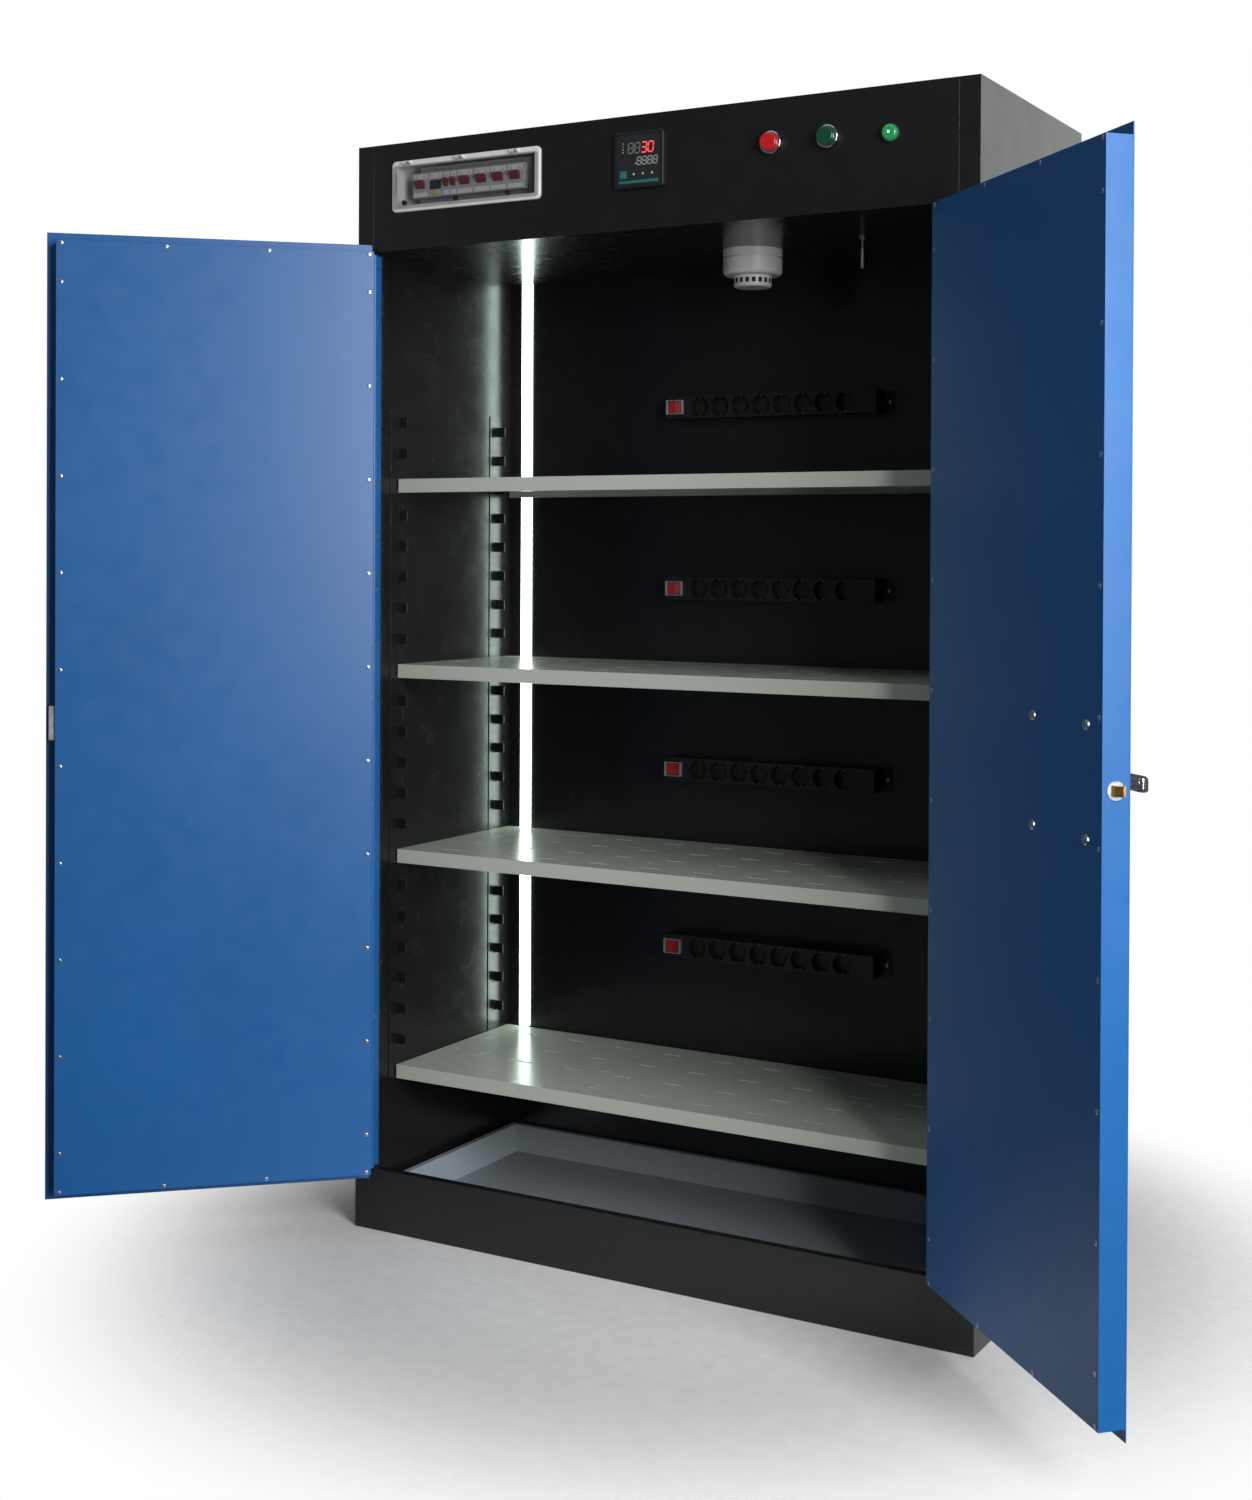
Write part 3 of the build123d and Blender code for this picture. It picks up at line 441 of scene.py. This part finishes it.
def prism(outline: np.ndarray, depth: float) -> Shape:
    """Push a flat outline (X and Z pairs) from Y 0 to Y depth."""
    count = len(outline)
    near = np.stack([outline[:, 0], np.zeros(count), outline[:, 1]], 1)
    far = near + (0.0, depth, 0.0)
    ring = np.arange(count)
    after = np.roll(ring, -1)
    sides = np.stack([ring, after, after + count, ring + count], 1)
    return Shape(np.concatenate([near, far]), [sides, ring[None], (ring + count)[None]])


TO_FRONT = np.array([(1.0, 0, 0), (0, 0, -1.0), (0, 1.0, 0)])


def show(name: str, shape: Shape, look: Look, body: str, slot: str, *stands_for: str) -> bpy.types.Object:
    """Make an object from a shape.

    Args:
        name: Object name.
        shape: Closed surface in the row frame.
        look: Its finish.
        body: CAD body that it moves with.
        slot: Material slot of the record; not used.
        stands_for: CAD nodes that it is shown in place of.

    Returns:
        The object, lying untransformed at the origin.
    """
    mesh = bpy.data.meshes.new(name)
    mesh.from_pydata(shape.points.tolist(), [], [face for group in shape.faces for face in group.tolist()])
    made = bmesh.new()
    made.from_mesh(mesh)
    bmesh.ops.recalc_face_normals(made, faces=made.faces)
    made.to_mesh(mesh)
    made.free()
    mesh.polygons.foreach_set("use_smooth", np.ones(len(mesh.polygons), bool))
    mesh.set_sharp_from_angle(angle=math.radians(32))
    mesh.materials.append(look.material())
    thing = bpy.data.objects.new(name, mesh)
    bpy.context.collection.objects.link(thing)
    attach(thing, body)
    if stands_for:
        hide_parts(*stands_for)
    log.info("%s: %d faces", name, len(mesh.polygons))
    return thing


def points_of(node: str) -> np.ndarray:
    """Vertices of a CAD node in the row frame."""
    mesh = frame["nodes"][node].data
    flat = np.empty(len(mesh.vertices) * 3)
    mesh.vertices.foreach_get("co", flat)
    return flat.reshape(-1, 3)


def box_of(node: str) -> tuple[np.ndarray, np.ndarray]:
    """Lowest and highest corner of a CAD node."""
    low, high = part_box(node)
    return np.array(low), np.array(high)


def joint(name: str) -> dict:
    """A joint of the record by its name."""
    return next(entry for entry in frame["joints"] if entry["name"] == name)


# ---------------------------------------------------------------------------
# The CAD pieces' finishes
# ---------------------------------------------------------------------------
class CadDresser:
    """Gives every CAD node its finish, by slot and then by node."""

    BY_SLOT = {
        "body_paint": Look.BODY,
        "door_paint": Look.DOOR,
        "shelf_paint": Look.SHELF,
        "zinc_steel": Look.ZINC,
        "latch_steel": Look.CHROME,
        "strip_plastic": Look.BLACK_PLASTIC,
        "rocker_red": Look.ROCKER,
        "clear_plastic": Look.CLEAR,
        "white_plastic": Look.WHITE,
        "breaker_grey": Look.GREY,
        "lever_red": Look.LEVER,
        "display_face": Look.FACE,
        "stop_red": Look.STOP,
        "start_green": Look.START,
        "lamp_green": Look.LAMP,
        "led_white": Look.LED,
        "contact_brass": Look.BRASS,
    }
    BY_NODE = {"drip_tray": Look.TRAY, "switch_guards": Look.GUARD, "latch_bolt": Look.BOLT}

    def build(self) -> None:
        """Assign the finishes to the nodes' material slots."""
        for part in frame["record"]["subparts"]:
            look = self.BY_NODE.get(part["node"], self.BY_SLOT[part["material_slot"]])
            mesh = frame["nodes"][part["node"]].data
            for number in range(len(mesh.materials)):
                mesh.materials[number] = look.material()


# ---------------------------------------------------------------------------
# Screws of the doors and hinges
# ---------------------------------------------------------------------------
class DoorFrame:
    """Door coordinates: s from the hinge axis, t into the cabinet, z up."""

    def __init__(self, side: str) -> None:
        entry = joint(side + "_door_hinge")
        angle = math.radians(entry["range_deg"][1])
        hand = 1.0 if side == "left" else -1.0
        cosine, sine = math.cos(angle), math.sin(angle)
        self.side = side
        self.origin = np.array([entry["pos_m"][0], entry["pos_m"][1], 0.0])
        self.turn = np.array([(hand * cosine, hand * sine, 0), (-sine, cosine, 0), (0, 0, 1.0)])

    def placed(self, shape: Shape) -> Shape:
        """A shape drawn in door coordinates, carried to the open door."""
        return shape.moved(self.origin, self.turn)

    def local_box(self, node: str) -> tuple[np.ndarray, np.ndarray]:
        """Box of a CAD node in door coordinates."""
        local = (points_of(node) - self.origin) @ self.turn
        return local.min(0), local.max(0)


@dataclass(frozen=True)
class ScrewSizes:
    """Sizes of the pan-head screws, in metres."""

    radius: float = 3.8 * MM
    hinge_radius: float = 3.2 * MM
    head: float = 1.2 * MM
    side_inset: float = 8.5 * MM
    end_inset: float = 4.8 * MM
    end_step: float = 69.0 * MM
    bolt_radius: float = 8.0 * MM
    bolt_head: float = 4.5 * MM
    hinge_top: float = 1.776
    hinge_pitch: float = 98.8 * MM
    hinge_in: float = 15.0 * MM
    hinge_count: int = 17


class Screws:
    """Domed heads with a cross recess on the doors' inner faces and hinge leaves."""

    def __init__(self, sizes: ScrewSizes = ScrewSizes()) -> None:
        self.sizes = sizes

    def head(self, radius: float, height: float) -> Shape:
        """A low dome standing on Z 0."""
        return lathe(
            [(0, 0), (radius * 0.97, 0), (radius, height * 0.25), (radius * 0.9, height * 0.7),
             (radius * 0.62, height * 0.95), (0, height)], 20,
        )

    def cross(self, radius: float, height: float) -> Shape:
        """The cross recess, drawn as two bars of painted shade level with the dome."""
        arm, half, top = radius * 0.48, radius * 0.1, height * 1.0
        return joined(
            cuboid((-arm, -half, top * 0.6), (arm, half, top)),
            cuboid((-half, -arm, top * 0.6), (half, arm, top - 0.00001)),
        )

    def panel_places(self, low: np.ndarray, high: np.ndarray) -> np.ndarray:
        """Places round the liner's face, as s, t and z."""
        size = self.sizes
        s_ends = (low[0] + size.side_inset, high[0] - size.side_inset)
        z_ends = (low[2] + size.end_inset, high[2] - size.end_inset)
        column = np.concatenate([z_ends, np.linspace(z_ends[0] + size.end_step, z_ends[1] - size.end_step, 10)])
        sides = [(s, high[1], z) for s in s_ends for z in column]
        thirds = np.linspace(*s_ends, 4)[1:3]
        ends = [(s, high[1], z) for s in thirds for z in z_ends]
        return np.array(sides + ends)

    def hinge_places(self, s: float) -> np.ndarray:
        """Places down a hinge leaf, as s, t and z."""
        size = self.sizes
        heights = size.hinge_top - np.arange(size.hinge_count) * size.hinge_pitch
        return np.stack([np.full(len(heights), s), np.full(len(heights), size.hinge_in), heights], 1)

    def build(self) -> None:
        """Make the heads and recesses of both doors and of the jambs."""
        size = self.sizes
        into_cabinet = np.array([(1.0, 0, 0), (0, 0, 1.0), (0, -1.0, 0)])
        along_s = np.array([(0, 0, 1.0), (0, 1.0, 0), (-1.0, 0, 0)])
        head, cross = self.head(size.radius, size.head), self.cross(size.radius, size.head)
        small, small_cross = self.head(size.hinge_radius, size.head), self.cross(size.hinge_radius, size.head)
        for side in ("left", "right"):
            door = DoorFrame(side)
            low, high = door.local_box(side + "_door_liner")
            panel = self.panel_places(low, high)
            hinge = self.hinge_places(low[0] - 1.5 * MM)
            heads = [
                head.moved((0, 0, 0), into_cabinet).tiled(panel),
                small.moved((0, 0, 0), -along_s).tiled(hinge),
            ]
            # The cross recesses are near-black bars of painted shade.
            dark = [
                cross.moved((0, 0, 0), into_cabinet).tiled(panel),
                small_cross.moved((0, 0, 0), -along_s).tiled(hinge),
            ]
            if side == "right":
                heads.append(self.lock_bolts(door, high[1]))
            show(side + "_screw_heads", door.placed(joined(*heads)), Look.ZINC, side + "_door", "zinc_steel",
                 side + "_door_screws")
            show(side + "_screw_recesses", door.placed(joined(*dark)), Look.DARK_HOLE, side + "_door", "zinc_steel")
        self.jambs(small, small_cross, along_s)

    def lock_bolts(self, door: DoorFrame, face: float) -> Shape:
        """Four round bolt heads behind the lock plate."""
        plate_low, plate_high = door.local_box("handle_plate")
        centre = (plate_low + plate_high) / 2
        places = [(centre[0] + a * 77 * MM, face, centre[2] + b * 76 * MM) for a in (-1, 1) for b in (-1, 1)]
        into_cabinet = np.array([(1.0, 0, 0), (0, 0, 1.0), (0, -1.0, 0)])
        radius, height = self.sizes.bolt_radius, self.sizes.bolt_head
        dome = lathe([(0, 0), (radius, 0), (radius * 0.94, height * 0.5), (radius * 0.7, height * 0.85), (0, height)], 24)
        shank = lathe([(0, -0.041), (0.003, -0.041), (0.003, 0.0), (0, 0.0)], 12)
        return joined(dome, shank).moved((0, 0, 0), into_cabinet).tiled(np.array(places))

    def jambs(self, small: Shape, small_cross: Shape, along_s: np.ndarray) -> None:
        """Heads on the jamb leaves and the two hinge pins."""
        low, high = box_of("left_door_liner")
        heads, dark = [], []
        for side in (-1, 1):
            entry = joint("left_door_hinge" if side < 0 else "right_door_hinge")
            axis_x, axis_y = entry["pos_m"][:2]
            turn = along_s * np.array([(side * -1.0,), (1.0,), (1.0,)])
            places = self.hinge_places(0.0) * (0, 1, 1) + (axis_x + side * 3.5 * MM, axis_y, 0)
            heads.append(small.moved((0, 0, 0), turn).tiled(places))
            # Cross recesses of the jamb screws in painted shade.
            dark.append(small_cross.moved((0, 0, 0), turn).tiled(places))
            radius = 1.6 * MM
            pin = lathe([(0, low[2]), (radius * 0.8, low[2]), (radius, low[2] + radius * 0.3),
                         (radius, high[2] - radius * 0.3), (radius * 0.8, high[2]), (0, high[2])], 16)
            heads.append(pin.moved((axis_x, axis_y, 0)))
        show("jamb_screw_heads", joined(*heads), Look.ZINC, "cabinet", "zinc_steel", "jamb_pins_and_screws")
        show("jamb_screw_recesses", joined(*dark), Look.DARK_HOLE, "cabinet", "zinc_steel")


# ---------------------------------------------------------------------------
# Controller display
# ---------------------------------------------------------------------------
@dataclass(frozen=True)
class DisplaySizes:
    """Places on the controller's face in millimetres from its lower left corner."""

    digit_high: float = 17.0
    digit_wide: float = 9.6
    digit_pitch: float = 13.2
    digits_left: float = 22.0
    digits_z: float = 63.0
    small_high: float = 13.0
    small_wide: float = 7.5
    small_pitch: float = 10.5
    small_left: float = 40.0
    small_z: float = 40.5
    stand: float = 0.12


class Display:
    """Seven-segment rows, keys and print on the controller's face."""

    LIT = {"3": "abcdg", "0": "abcdef", "8": "abcdefg"}

    def __init__(self, sizes: DisplaySizes = DisplaySizes()) -> None:
        self.sizes = sizes
        self.left, self.face_y, self.bottom = box_of("controller_face")[0]

    def segment(self, a: np.ndarray, b: np.ndarray, thick: float) -> Shape:
        """A six-sided bar between two points of the face."""
        along = (b - a) / np.linalg.norm(b - a)
        across = np.array([-along[1], along[0]]) * thick / 2
        a, b = a + along * thick * 0.15, b - along * thick * 0.15
        shoulder = along * thick / 2
        upper, lower = [a + shoulder + across, b - shoulder + across], [b - shoulder - across, a + shoulder - across]
        outline = np.array([a, *upper, b, *lower])
        return prism(outline * MM, self.sizes.stand * MM)

    def digit(self, left: float, middle: float, wide: float, high: float, names: str) -> list[Shape]:
        """The named segments of one digit, leaning slightly to the right."""
        half, thick, lean = high / 2, high * 0.13, 0.1
        spots = {
            "a": ((0, half), (wide, half)), "b": ((wide, half), (wide, 0)), "c": ((wide, 0), (wide, -half)),
            "d": ((0, -half), (wide, -half)), "e": ((0, 0), (0, -half)), "f": ((0, half), (0, 0)), "g": ((0, 0), (wide, 0)),
        }
        ends = [np.array(spots[name], float) for name in names]
        leant = [end + np.outer(end[:, 1], (lean, 0)) + (left, middle) for end in ends]
        return [self.segment(pair[0], pair[1], thick) for pair in leant]

    def on_face(self, shapes: list[Shape]) -> Shape:
        """Shapes drawn in face millimetres, carried onto the face."""
        return joined(*shapes).moved((self.left, self.face_y - self.sizes.stand * MM, self.bottom))

    def patch(self, x0: float, x1: float, z0: float, z1: float) -> Shape:
        """A thin printed rectangle."""
        return prism(np.array([(x0, z0), (x1, z0), (x1, z1), (x0, z1)]) * MM, self.sizes.stand * MM)

    def arrow(self, x: float, z: float, turn: float) -> Shape:
        """A small triangle pointing along an angle in degrees."""
        angles = np.radians(turn + np.array([0, 125, 235]))
        return prism(np.stack([x + 2.6 * np.cos(angles), z + 2.6 * np.sin(angles)], 1) * MM, self.sizes.stand * MM)

    def build(self) -> None:
        """Make the two rows, the keys and the stripe."""
        size = self.sizes
        dim, lit, small = [], [], []
        for place, figure in enumerate("8830"):
            left = size.digits_left + place * size.digit_pitch
            bars = self.digit(left, size.digits_z, size.digit_wide, size.digit_high, self.LIT[figure])
            (dim if place < 2 else lit).extend(bars)
        for place in range(4):
            left = size.small_left + place * size.small_pitch
            small += self.digit(left, size.small_z, size.small_wide, size.small_high, self.LIT["8"])
        show("digits_unlit", self.on_face(dim), Look.DIM, "cabinet", "display_face")
        show("digits_lit", self.on_face(lit), Look.LIT_RED, "cabinet", "display_face")
        show("digits_small", self.on_face(small), Look.OLIVE, "cabinet", "display_face")
        keys = [self.patch(6, 19, 12, 25), self.patch(4, 81.5, 3.5, 8)]
        show("key_print_teal", self.on_face(keys), Look.TEAL, "cabinet", "display_face")
        marks = [self.arrow(33, 18.5, 180), self.arrow(51, 18.5, 270), self.arrow(69, 18.5, 90)]
        marks += [self.patch(11, 12.6, z, z + 1.6) for z in (56, 61, 66, 71)] + [self.patch(36, 37.6, 36, 37.6)]
        show("key_print_pale", self.on_face(marks), Look.PRINT, "cabinet", "display_face")


# ---------------------------------------------------------------------------
# Breakers
# ---------------------------------------------------------------------------
@dataclass(frozen=True)
class BreakerSizes:
    """Widths of the modules from left to right, in millimetres, and face details."""

    widths: tuple[float, ...] = (35.0, 32.0, 15.5, 15.5, 36.0, 36.0, 36.0, 36.0)
    meter: int = 1


class Breakers:
    """Labels, print lines and the meter's window and button on the modules."""

    def __init__(self, sizes: BreakerSizes = BreakerSizes()) -> None:
        self.sizes = sizes
        low, high = box_of("breaker_bodies")
        self.left = low[0] - 0.2 * MM
        self.face_y = low[1]
        self.middle = (low[2] + high[2]) / 2

    def build(self) -> None:
        """Make the print and fittings of each module's face."""
        labels, screws, lines = [], [], []
        edges = self.left + np.concatenate([[0], np.cumsum(self.sizes.widths)]) * MM
        y, z = self.face_y, self.middle
        for number, (x0, x1) in enumerate(zip(edges[:-1], edges[1:])):
            x0, x1 = x0 + 1.2 * MM, x1 - 1.2 * MM
            centre = (x0 + x1) / 2
            labels.append(cuboid((x0 + 1 * MM, y - 0.1 * MM, z + 11 * MM), (x1 - 1 * MM, y, z + 20.5 * MM)))
            if number != self.sizes.meter:
                labels.append(cuboid((x0 + 1 * MM, y - 0.1 * MM, z - 20.5 * MM), (x1 - 1 * MM, y, z - 13 * MM)))
            step = 17.5 * MM
            poles = max(1, round((x1 - x0) / step))
            for pole in range(poles):
                px = centre + (pole - (poles - 1) / 2) * step
                lines.append(cuboid((px - 3 * MM, y - 0.15 * MM, z + 13 * MM), (px + 3 * MM, y, z + 13.8 * MM)))
                lines.append(cuboid((px - 4 * MM, y - 0.15 * MM, z + 16 * MM), (px + 2 * MM, y, z + 16.6 * MM)))
                screws.append((px, y - 0.4 * MM, z))
        show("breaker_labels", joined(*labels), Look.LABEL, "cabinet", "breaker_grey")
        show("breaker_print", joined(*lines), Look.BLACK_PLASTIC, "cabinet", "breaker_grey")
        x0, x1 = edges[self.sizes.meter] + 3 * MM, edges[self.sizes.meter + 1] - 3 * MM
        window = cuboid((x0, y - 0.5 * MM, z - 9 * MM), (x1, y, z + 8 * MM), 0.2 * MM)
        show("meter_window", window, Look.SMOKED, "cabinet", "breaker_grey")
        button = cuboid((x0 + 8 * MM, y - 1.2 * MM, z - 18 * MM), (x1 - 8 * MM, y, z - 12 * MM), 0.3 * MM)
        show("meter_button", button, Look.YELLOW, "cabinet", "breaker_grey")


# ---------------------------------------------------------------------------
# Power strips
# ---------------------------------------------------------------------------
@dataclass(frozen=True)
class StripSizes:
    """Socket details in millimetres."""

    first_x: float = 470.0
    pitch: float = 44.0
    count: int = 8
    radius: float = 19.0
    deep: float = 15.0


class PowerStrips:
    """Recess floors with pin holes and the fixing screws of the four strips."""

    def __init__(self, sizes: StripSizes = StripSizes()) -> None:
        self.sizes = sizes
        low, high = box_of("power_strip_housings")
        self.front_y = low[1]
        self.low, self.high = low, high
        self.side_x = box_of("side_panel_left")[0][0]
        levels = [joint("strip_switch_%d_rock" % number)["pos_m"][2] for number in range(1, 5)]
        columns = self.side_x + (self.sizes.first_x + np.arange(self.sizes.count) * self.sizes.pitch) * MM
        self.levels = levels
        self.places = np.array([(x, self.front_y, z) for z in levels for x in columns])

    def build(self) -> None:
        """Make the floors and holes of every socket, and the ear screws."""
        size = self.sizes
        radius, deep = size.radius * MM, size.deep * MM
        rim, top = radius - 1.4 * MM, deep - 1.2 * MM
        floor = lathe([(0, top), (rim, top), (rim, deep), (0, deep)], 28)
        to_back = np.array([(1.0, 0, 0), (0, 0, 1.0), (0, -1.0, 0)])
        floor = floor.moved((0, 0, 0), to_back)
        show("socket_floors", floor.tiled(self.places), Look.BLACK_PLASTIC, "cabinet", "strip_plastic")
        # The pin holes are dark discs of painted shade on the recess floor.
        near, far, wide = deep - 1.3 * MM, deep - 0.3 * MM, 2.5 * MM
        hole = lathe([(0, near), (wide, near), (wide, far), (0, far)], 14)
        hole = hole.moved((0, 0, 0), to_back)
        pair = joined(hole.moved((-9.5 * MM, 0, 0)), hole.moved((9.5 * MM, 0, 0)))
        show("socket_pin_holes", pair.tiled(self.places), Look.DARK_HOLE, "cabinet", "strip_plastic")
        ear = [(x, self.high[1] - 2.0 * MM, z) for z in self.levels
               for x in (self.low[0] + 9.5 * MM, self.high[0] - 9.5 * MM)]
        screws = Screws()
        front = np.array([(1.0, 0, 0), (0, 0, -1.0), (0, 1.0, 0)])
        head = screws.head(4.2 * MM, 1.6 * MM).moved((0, 0, 0), front)
        cross = screws.cross(4.2 * MM, 1.6 * MM).moved((0, 0, 0), front)
        show("strip_ear_screws", head.tiled(np.array(ear)), Look.ZINC, "cabinet", "strip_plastic")
        # Cross recesses of the ear screws in painted shade.
        show("strip_ear_recesses", cross.tiled(np.array(ear)), Look.DARK_HOLE, "cabinet", "strip_plastic")


# ---------------------------------------------------------------------------
# Smoke detector
# ---------------------------------------------------------------------------
class SmokeDetector:
    """Slots round the sensing head and a small lamp dot."""

    def build(self) -> None:
        """Make the slots between the ribs of the head, drawn as near-black painted shade."""
        low, high = box_of("smoke_detector")
        centre = (low + high) / 2
        radius = (high[0] - low[0]) / 2 * 0.64
        count = 18
        angle = np.arange(count) * 2 * math.pi / count
        slots = []
        for turn in angle:
            cosine, sine = math.cos(turn), math.sin(turn)
            spin = np.array([(cosine, -sine, 0), (sine, cosine, 0), (0, 0, 1.0)])
            bar = cuboid((radius - 3 * MM, -3.4 * MM, 0), (radius + 0.05 * MM, 3.4 * MM, 9 * MM), 0.3 * MM)
            slots.append(bar.moved((centre[0], centre[1], low[2] + 7 * MM), spin))
        show("detector_slots", joined(*slots), Look.DARK_HOLE, "cabinet", "white_plastic")
        dot = lathe([(0, 0), (1.6 * MM, 0), (1.4 * MM, 0.8 * MM), (0, 1.1 * MM)], 16)
        dot = dot.moved((0, 0, 0), TO_FRONT).moved((centre[0], low[1] + 0.6 * MM, low[2] + 40 * MM))
        show("detector_lamp", dot, Look.LIT_RED, "cabinet", "white_plastic")


# ---------------------------------------------------------------------------
# Pilot lamp
# ---------------------------------------------------------------------------
class PilotLamp:
    """A painted highlight, drawn as a glowing spot in the middle of the lens."""

    def build(self) -> None:
        """Make the glowing spot of painted highlight on the lens."""
        low, high = box_of("pilot_lamp")
        spot = lathe([(0, 0), (2.2 * MM, 0), (2.0 * MM, 0.2 * MM), (0, 0.4 * MM)], 20)
        spot = spot.moved((0, 0, 0), TO_FRONT).moved(((low[0] + high[0]) / 2, low[1] + 0.1 * MM, (low[2] + high[2]) / 2))
        # The spot is a painted highlight made to glow.
        show("pilot_lamp_diode", spot, Look.GLINT, "cabinet", "lamp_green")


# ---------------------------------------------------------------------------
# Studio
# ---------------------------------------------------------------------------
@dataclass(frozen=True)
class Panel:
    """A soft light panel: where it stands, where it points, its size and power."""

    name: str
    place: tuple[float, float, float]
    target: tuple[float, float, float]
    size: tuple[float, float]
    watts: float


class Studio:
    """Pale floor, white surround, soft light panels and the camera."""

    PANELS = (
        Panel("key", (3.0, -2.3, 1.9), (-0.5, -0.3, 1.1), (1.4, 2.4), 165.0),
        Panel("side_reflection", (2.3, 4.4, 2.6), (0.6, 0.0, 1.2), (3.6, 5.0), 66.0),
        Panel("top", (-0.4, -1.6, 4.2), (0.0, -0.2, 1.0), (2.6, 1.6), 15.0),
        Panel("left_fill", (-3.4, -2.6, 1.8), (0.2, -0.3, 1.0), (2.0, 2.4), 3.0),
    )

    def build(self) -> None:
        """Make the surround, floor, lights and camera."""
        self.surround()
        self.floor()
        for panel in self.PANELS:
            self.light(panel)
        self.camera()

    def surround(self) -> None:
        """White for camera rays, dimmer for the rest."""
        world = bpy.data.worlds.new("studio")
        bpy.context.scene.world = world
        world.use_nodes = True
        tree = world.node_tree
        tree.nodes.clear()
        path = add(tree, "ShaderNodeLightPath")
        white = add(tree, "ShaderNodeBackground", {"Color": (1, 1, 1, 1), "Strength": 1.0})
        soft = add(tree, "ShaderNodeBackground", {"Color": (0.92, 0.96, 1.0, 1), "Strength": 0.09})
        mix = add(tree, "ShaderNodeMixShader", {0: path.outputs["Is Camera Ray"], 1: soft.outputs[0], 2: white.outputs[0]})
        add(tree, "ShaderNodeOutputWorld", {"Surface": mix.outputs[0]})

    def floor(self) -> None:
        """A round pale floor that fades out towards its rim."""
        low = LOADED_BOUNDS[0]
        radius = 3.4
        disc = lathe([(0, -0.004), (radius, -0.004), (radius, 0.0), (0, 0.0)], 96).moved((0, 0, low[2] - 0.0002))
        mesh = bpy.data.meshes.new("studio_floor")
        mesh.from_pydata(disc.points.tolist(), [], [face for group in disc.faces for face in group.tolist()])
        material = Look.STAGE.material()
        tree = material.node_tree
        shader = next(node for node in tree.nodes if node.type == "BSDF_PRINCIPLED")
        where = add(tree, "ShaderNodeTexCoord").outputs["Object"]
        reach = add(tree, "ShaderNodeVectorMath", {0: where}, operation="LENGTH").outputs["Value"]
        inputs = {"Value": reach, "From Min": 0.45, "From Max": 1.25, "To Min": 1.0, "To Max": 0.0}
        fade = add(tree, "ShaderNodeMapRange", inputs, interpolation_type="SMOOTHSTEP")
        tree.links.new(fade.outputs["Result"], shader.inputs["Alpha"])
        mesh.materials.append(material)
        thing = bpy.data.objects.new("studio_floor", mesh)
        bpy.context.collection.objects.link(thing)

    def light(self, panel: Panel) -> None:
        """Add one rectangular light."""
        data = bpy.data.lights.new(panel.name, "AREA")
        data.shape = "RECTANGLE"
        data.size, data.size_y = panel.size
        data.energy = panel.watts
        lamp = bpy.data.objects.new(panel.name, data)
        bpy.context.collection.objects.link(lamp)
        back = np.array(panel.place) - np.array(panel.target)
        back /= np.linalg.norm(back)
        side = np.cross((0, 0, 1.0), back)
        side /= np.linalg.norm(side)
        rise = np.cross(back, side)
        matrix = np.eye(4)
        matrix[:3, 0], matrix[:3, 1], matrix[:3, 2], matrix[:3, 3] = side, rise, back, panel.place
        lamp.matrix_world = Matrix(matrix.tolist())
        lamp.visible_camera = False

    def camera(self) -> None:
        """Stand the camera where the cabinet is seen from its right front."""
        yaw, pitch, roll = 0.51313, -0.0076, 0.00468
        ahead = np.array([-math.sin(yaw) * math.cos(pitch), math.cos(yaw) * math.cos(pitch), math.sin(pitch)])
        side = np.array([math.cos(yaw), math.sin(yaw), 0.0])
        side = math.cos(roll) * side + math.sin(roll) * np.cross(side, ahead)
        matrix = np.eye(4)
        matrix[:3, 0], matrix[:3, 1], matrix[:3, 2] = side, np.cross(side, ahead), -ahead
        matrix[:3, 3] = (1.70521, -3.19623, 1.25487)
        data = bpy.data.cameras.new("camera")
        data.lens, data.sensor_width = 47.875, 36.0
        data.shift_x, data.shift_y = -0.02566, -0.12192
        eye = bpy.data.objects.new("camera", data)
        bpy.context.collection.objects.link(eye)
        eye.matrix_world = Matrix(matrix.tolist())
        bpy.context.scene.camera = eye


def main() -> None:
    """Build every class in order."""
    logging.basicConfig(level=logging.INFO)
    bpy.context.scene.view_settings.view_transform = "Standard"
    for builder in (CadDresser(), Screws(), Display(), Breakers(), PowerStrips(), SmokeDetector(), PilotLamp(), Studio()):
        builder.build()


if __name__ == "__main__":
    main()
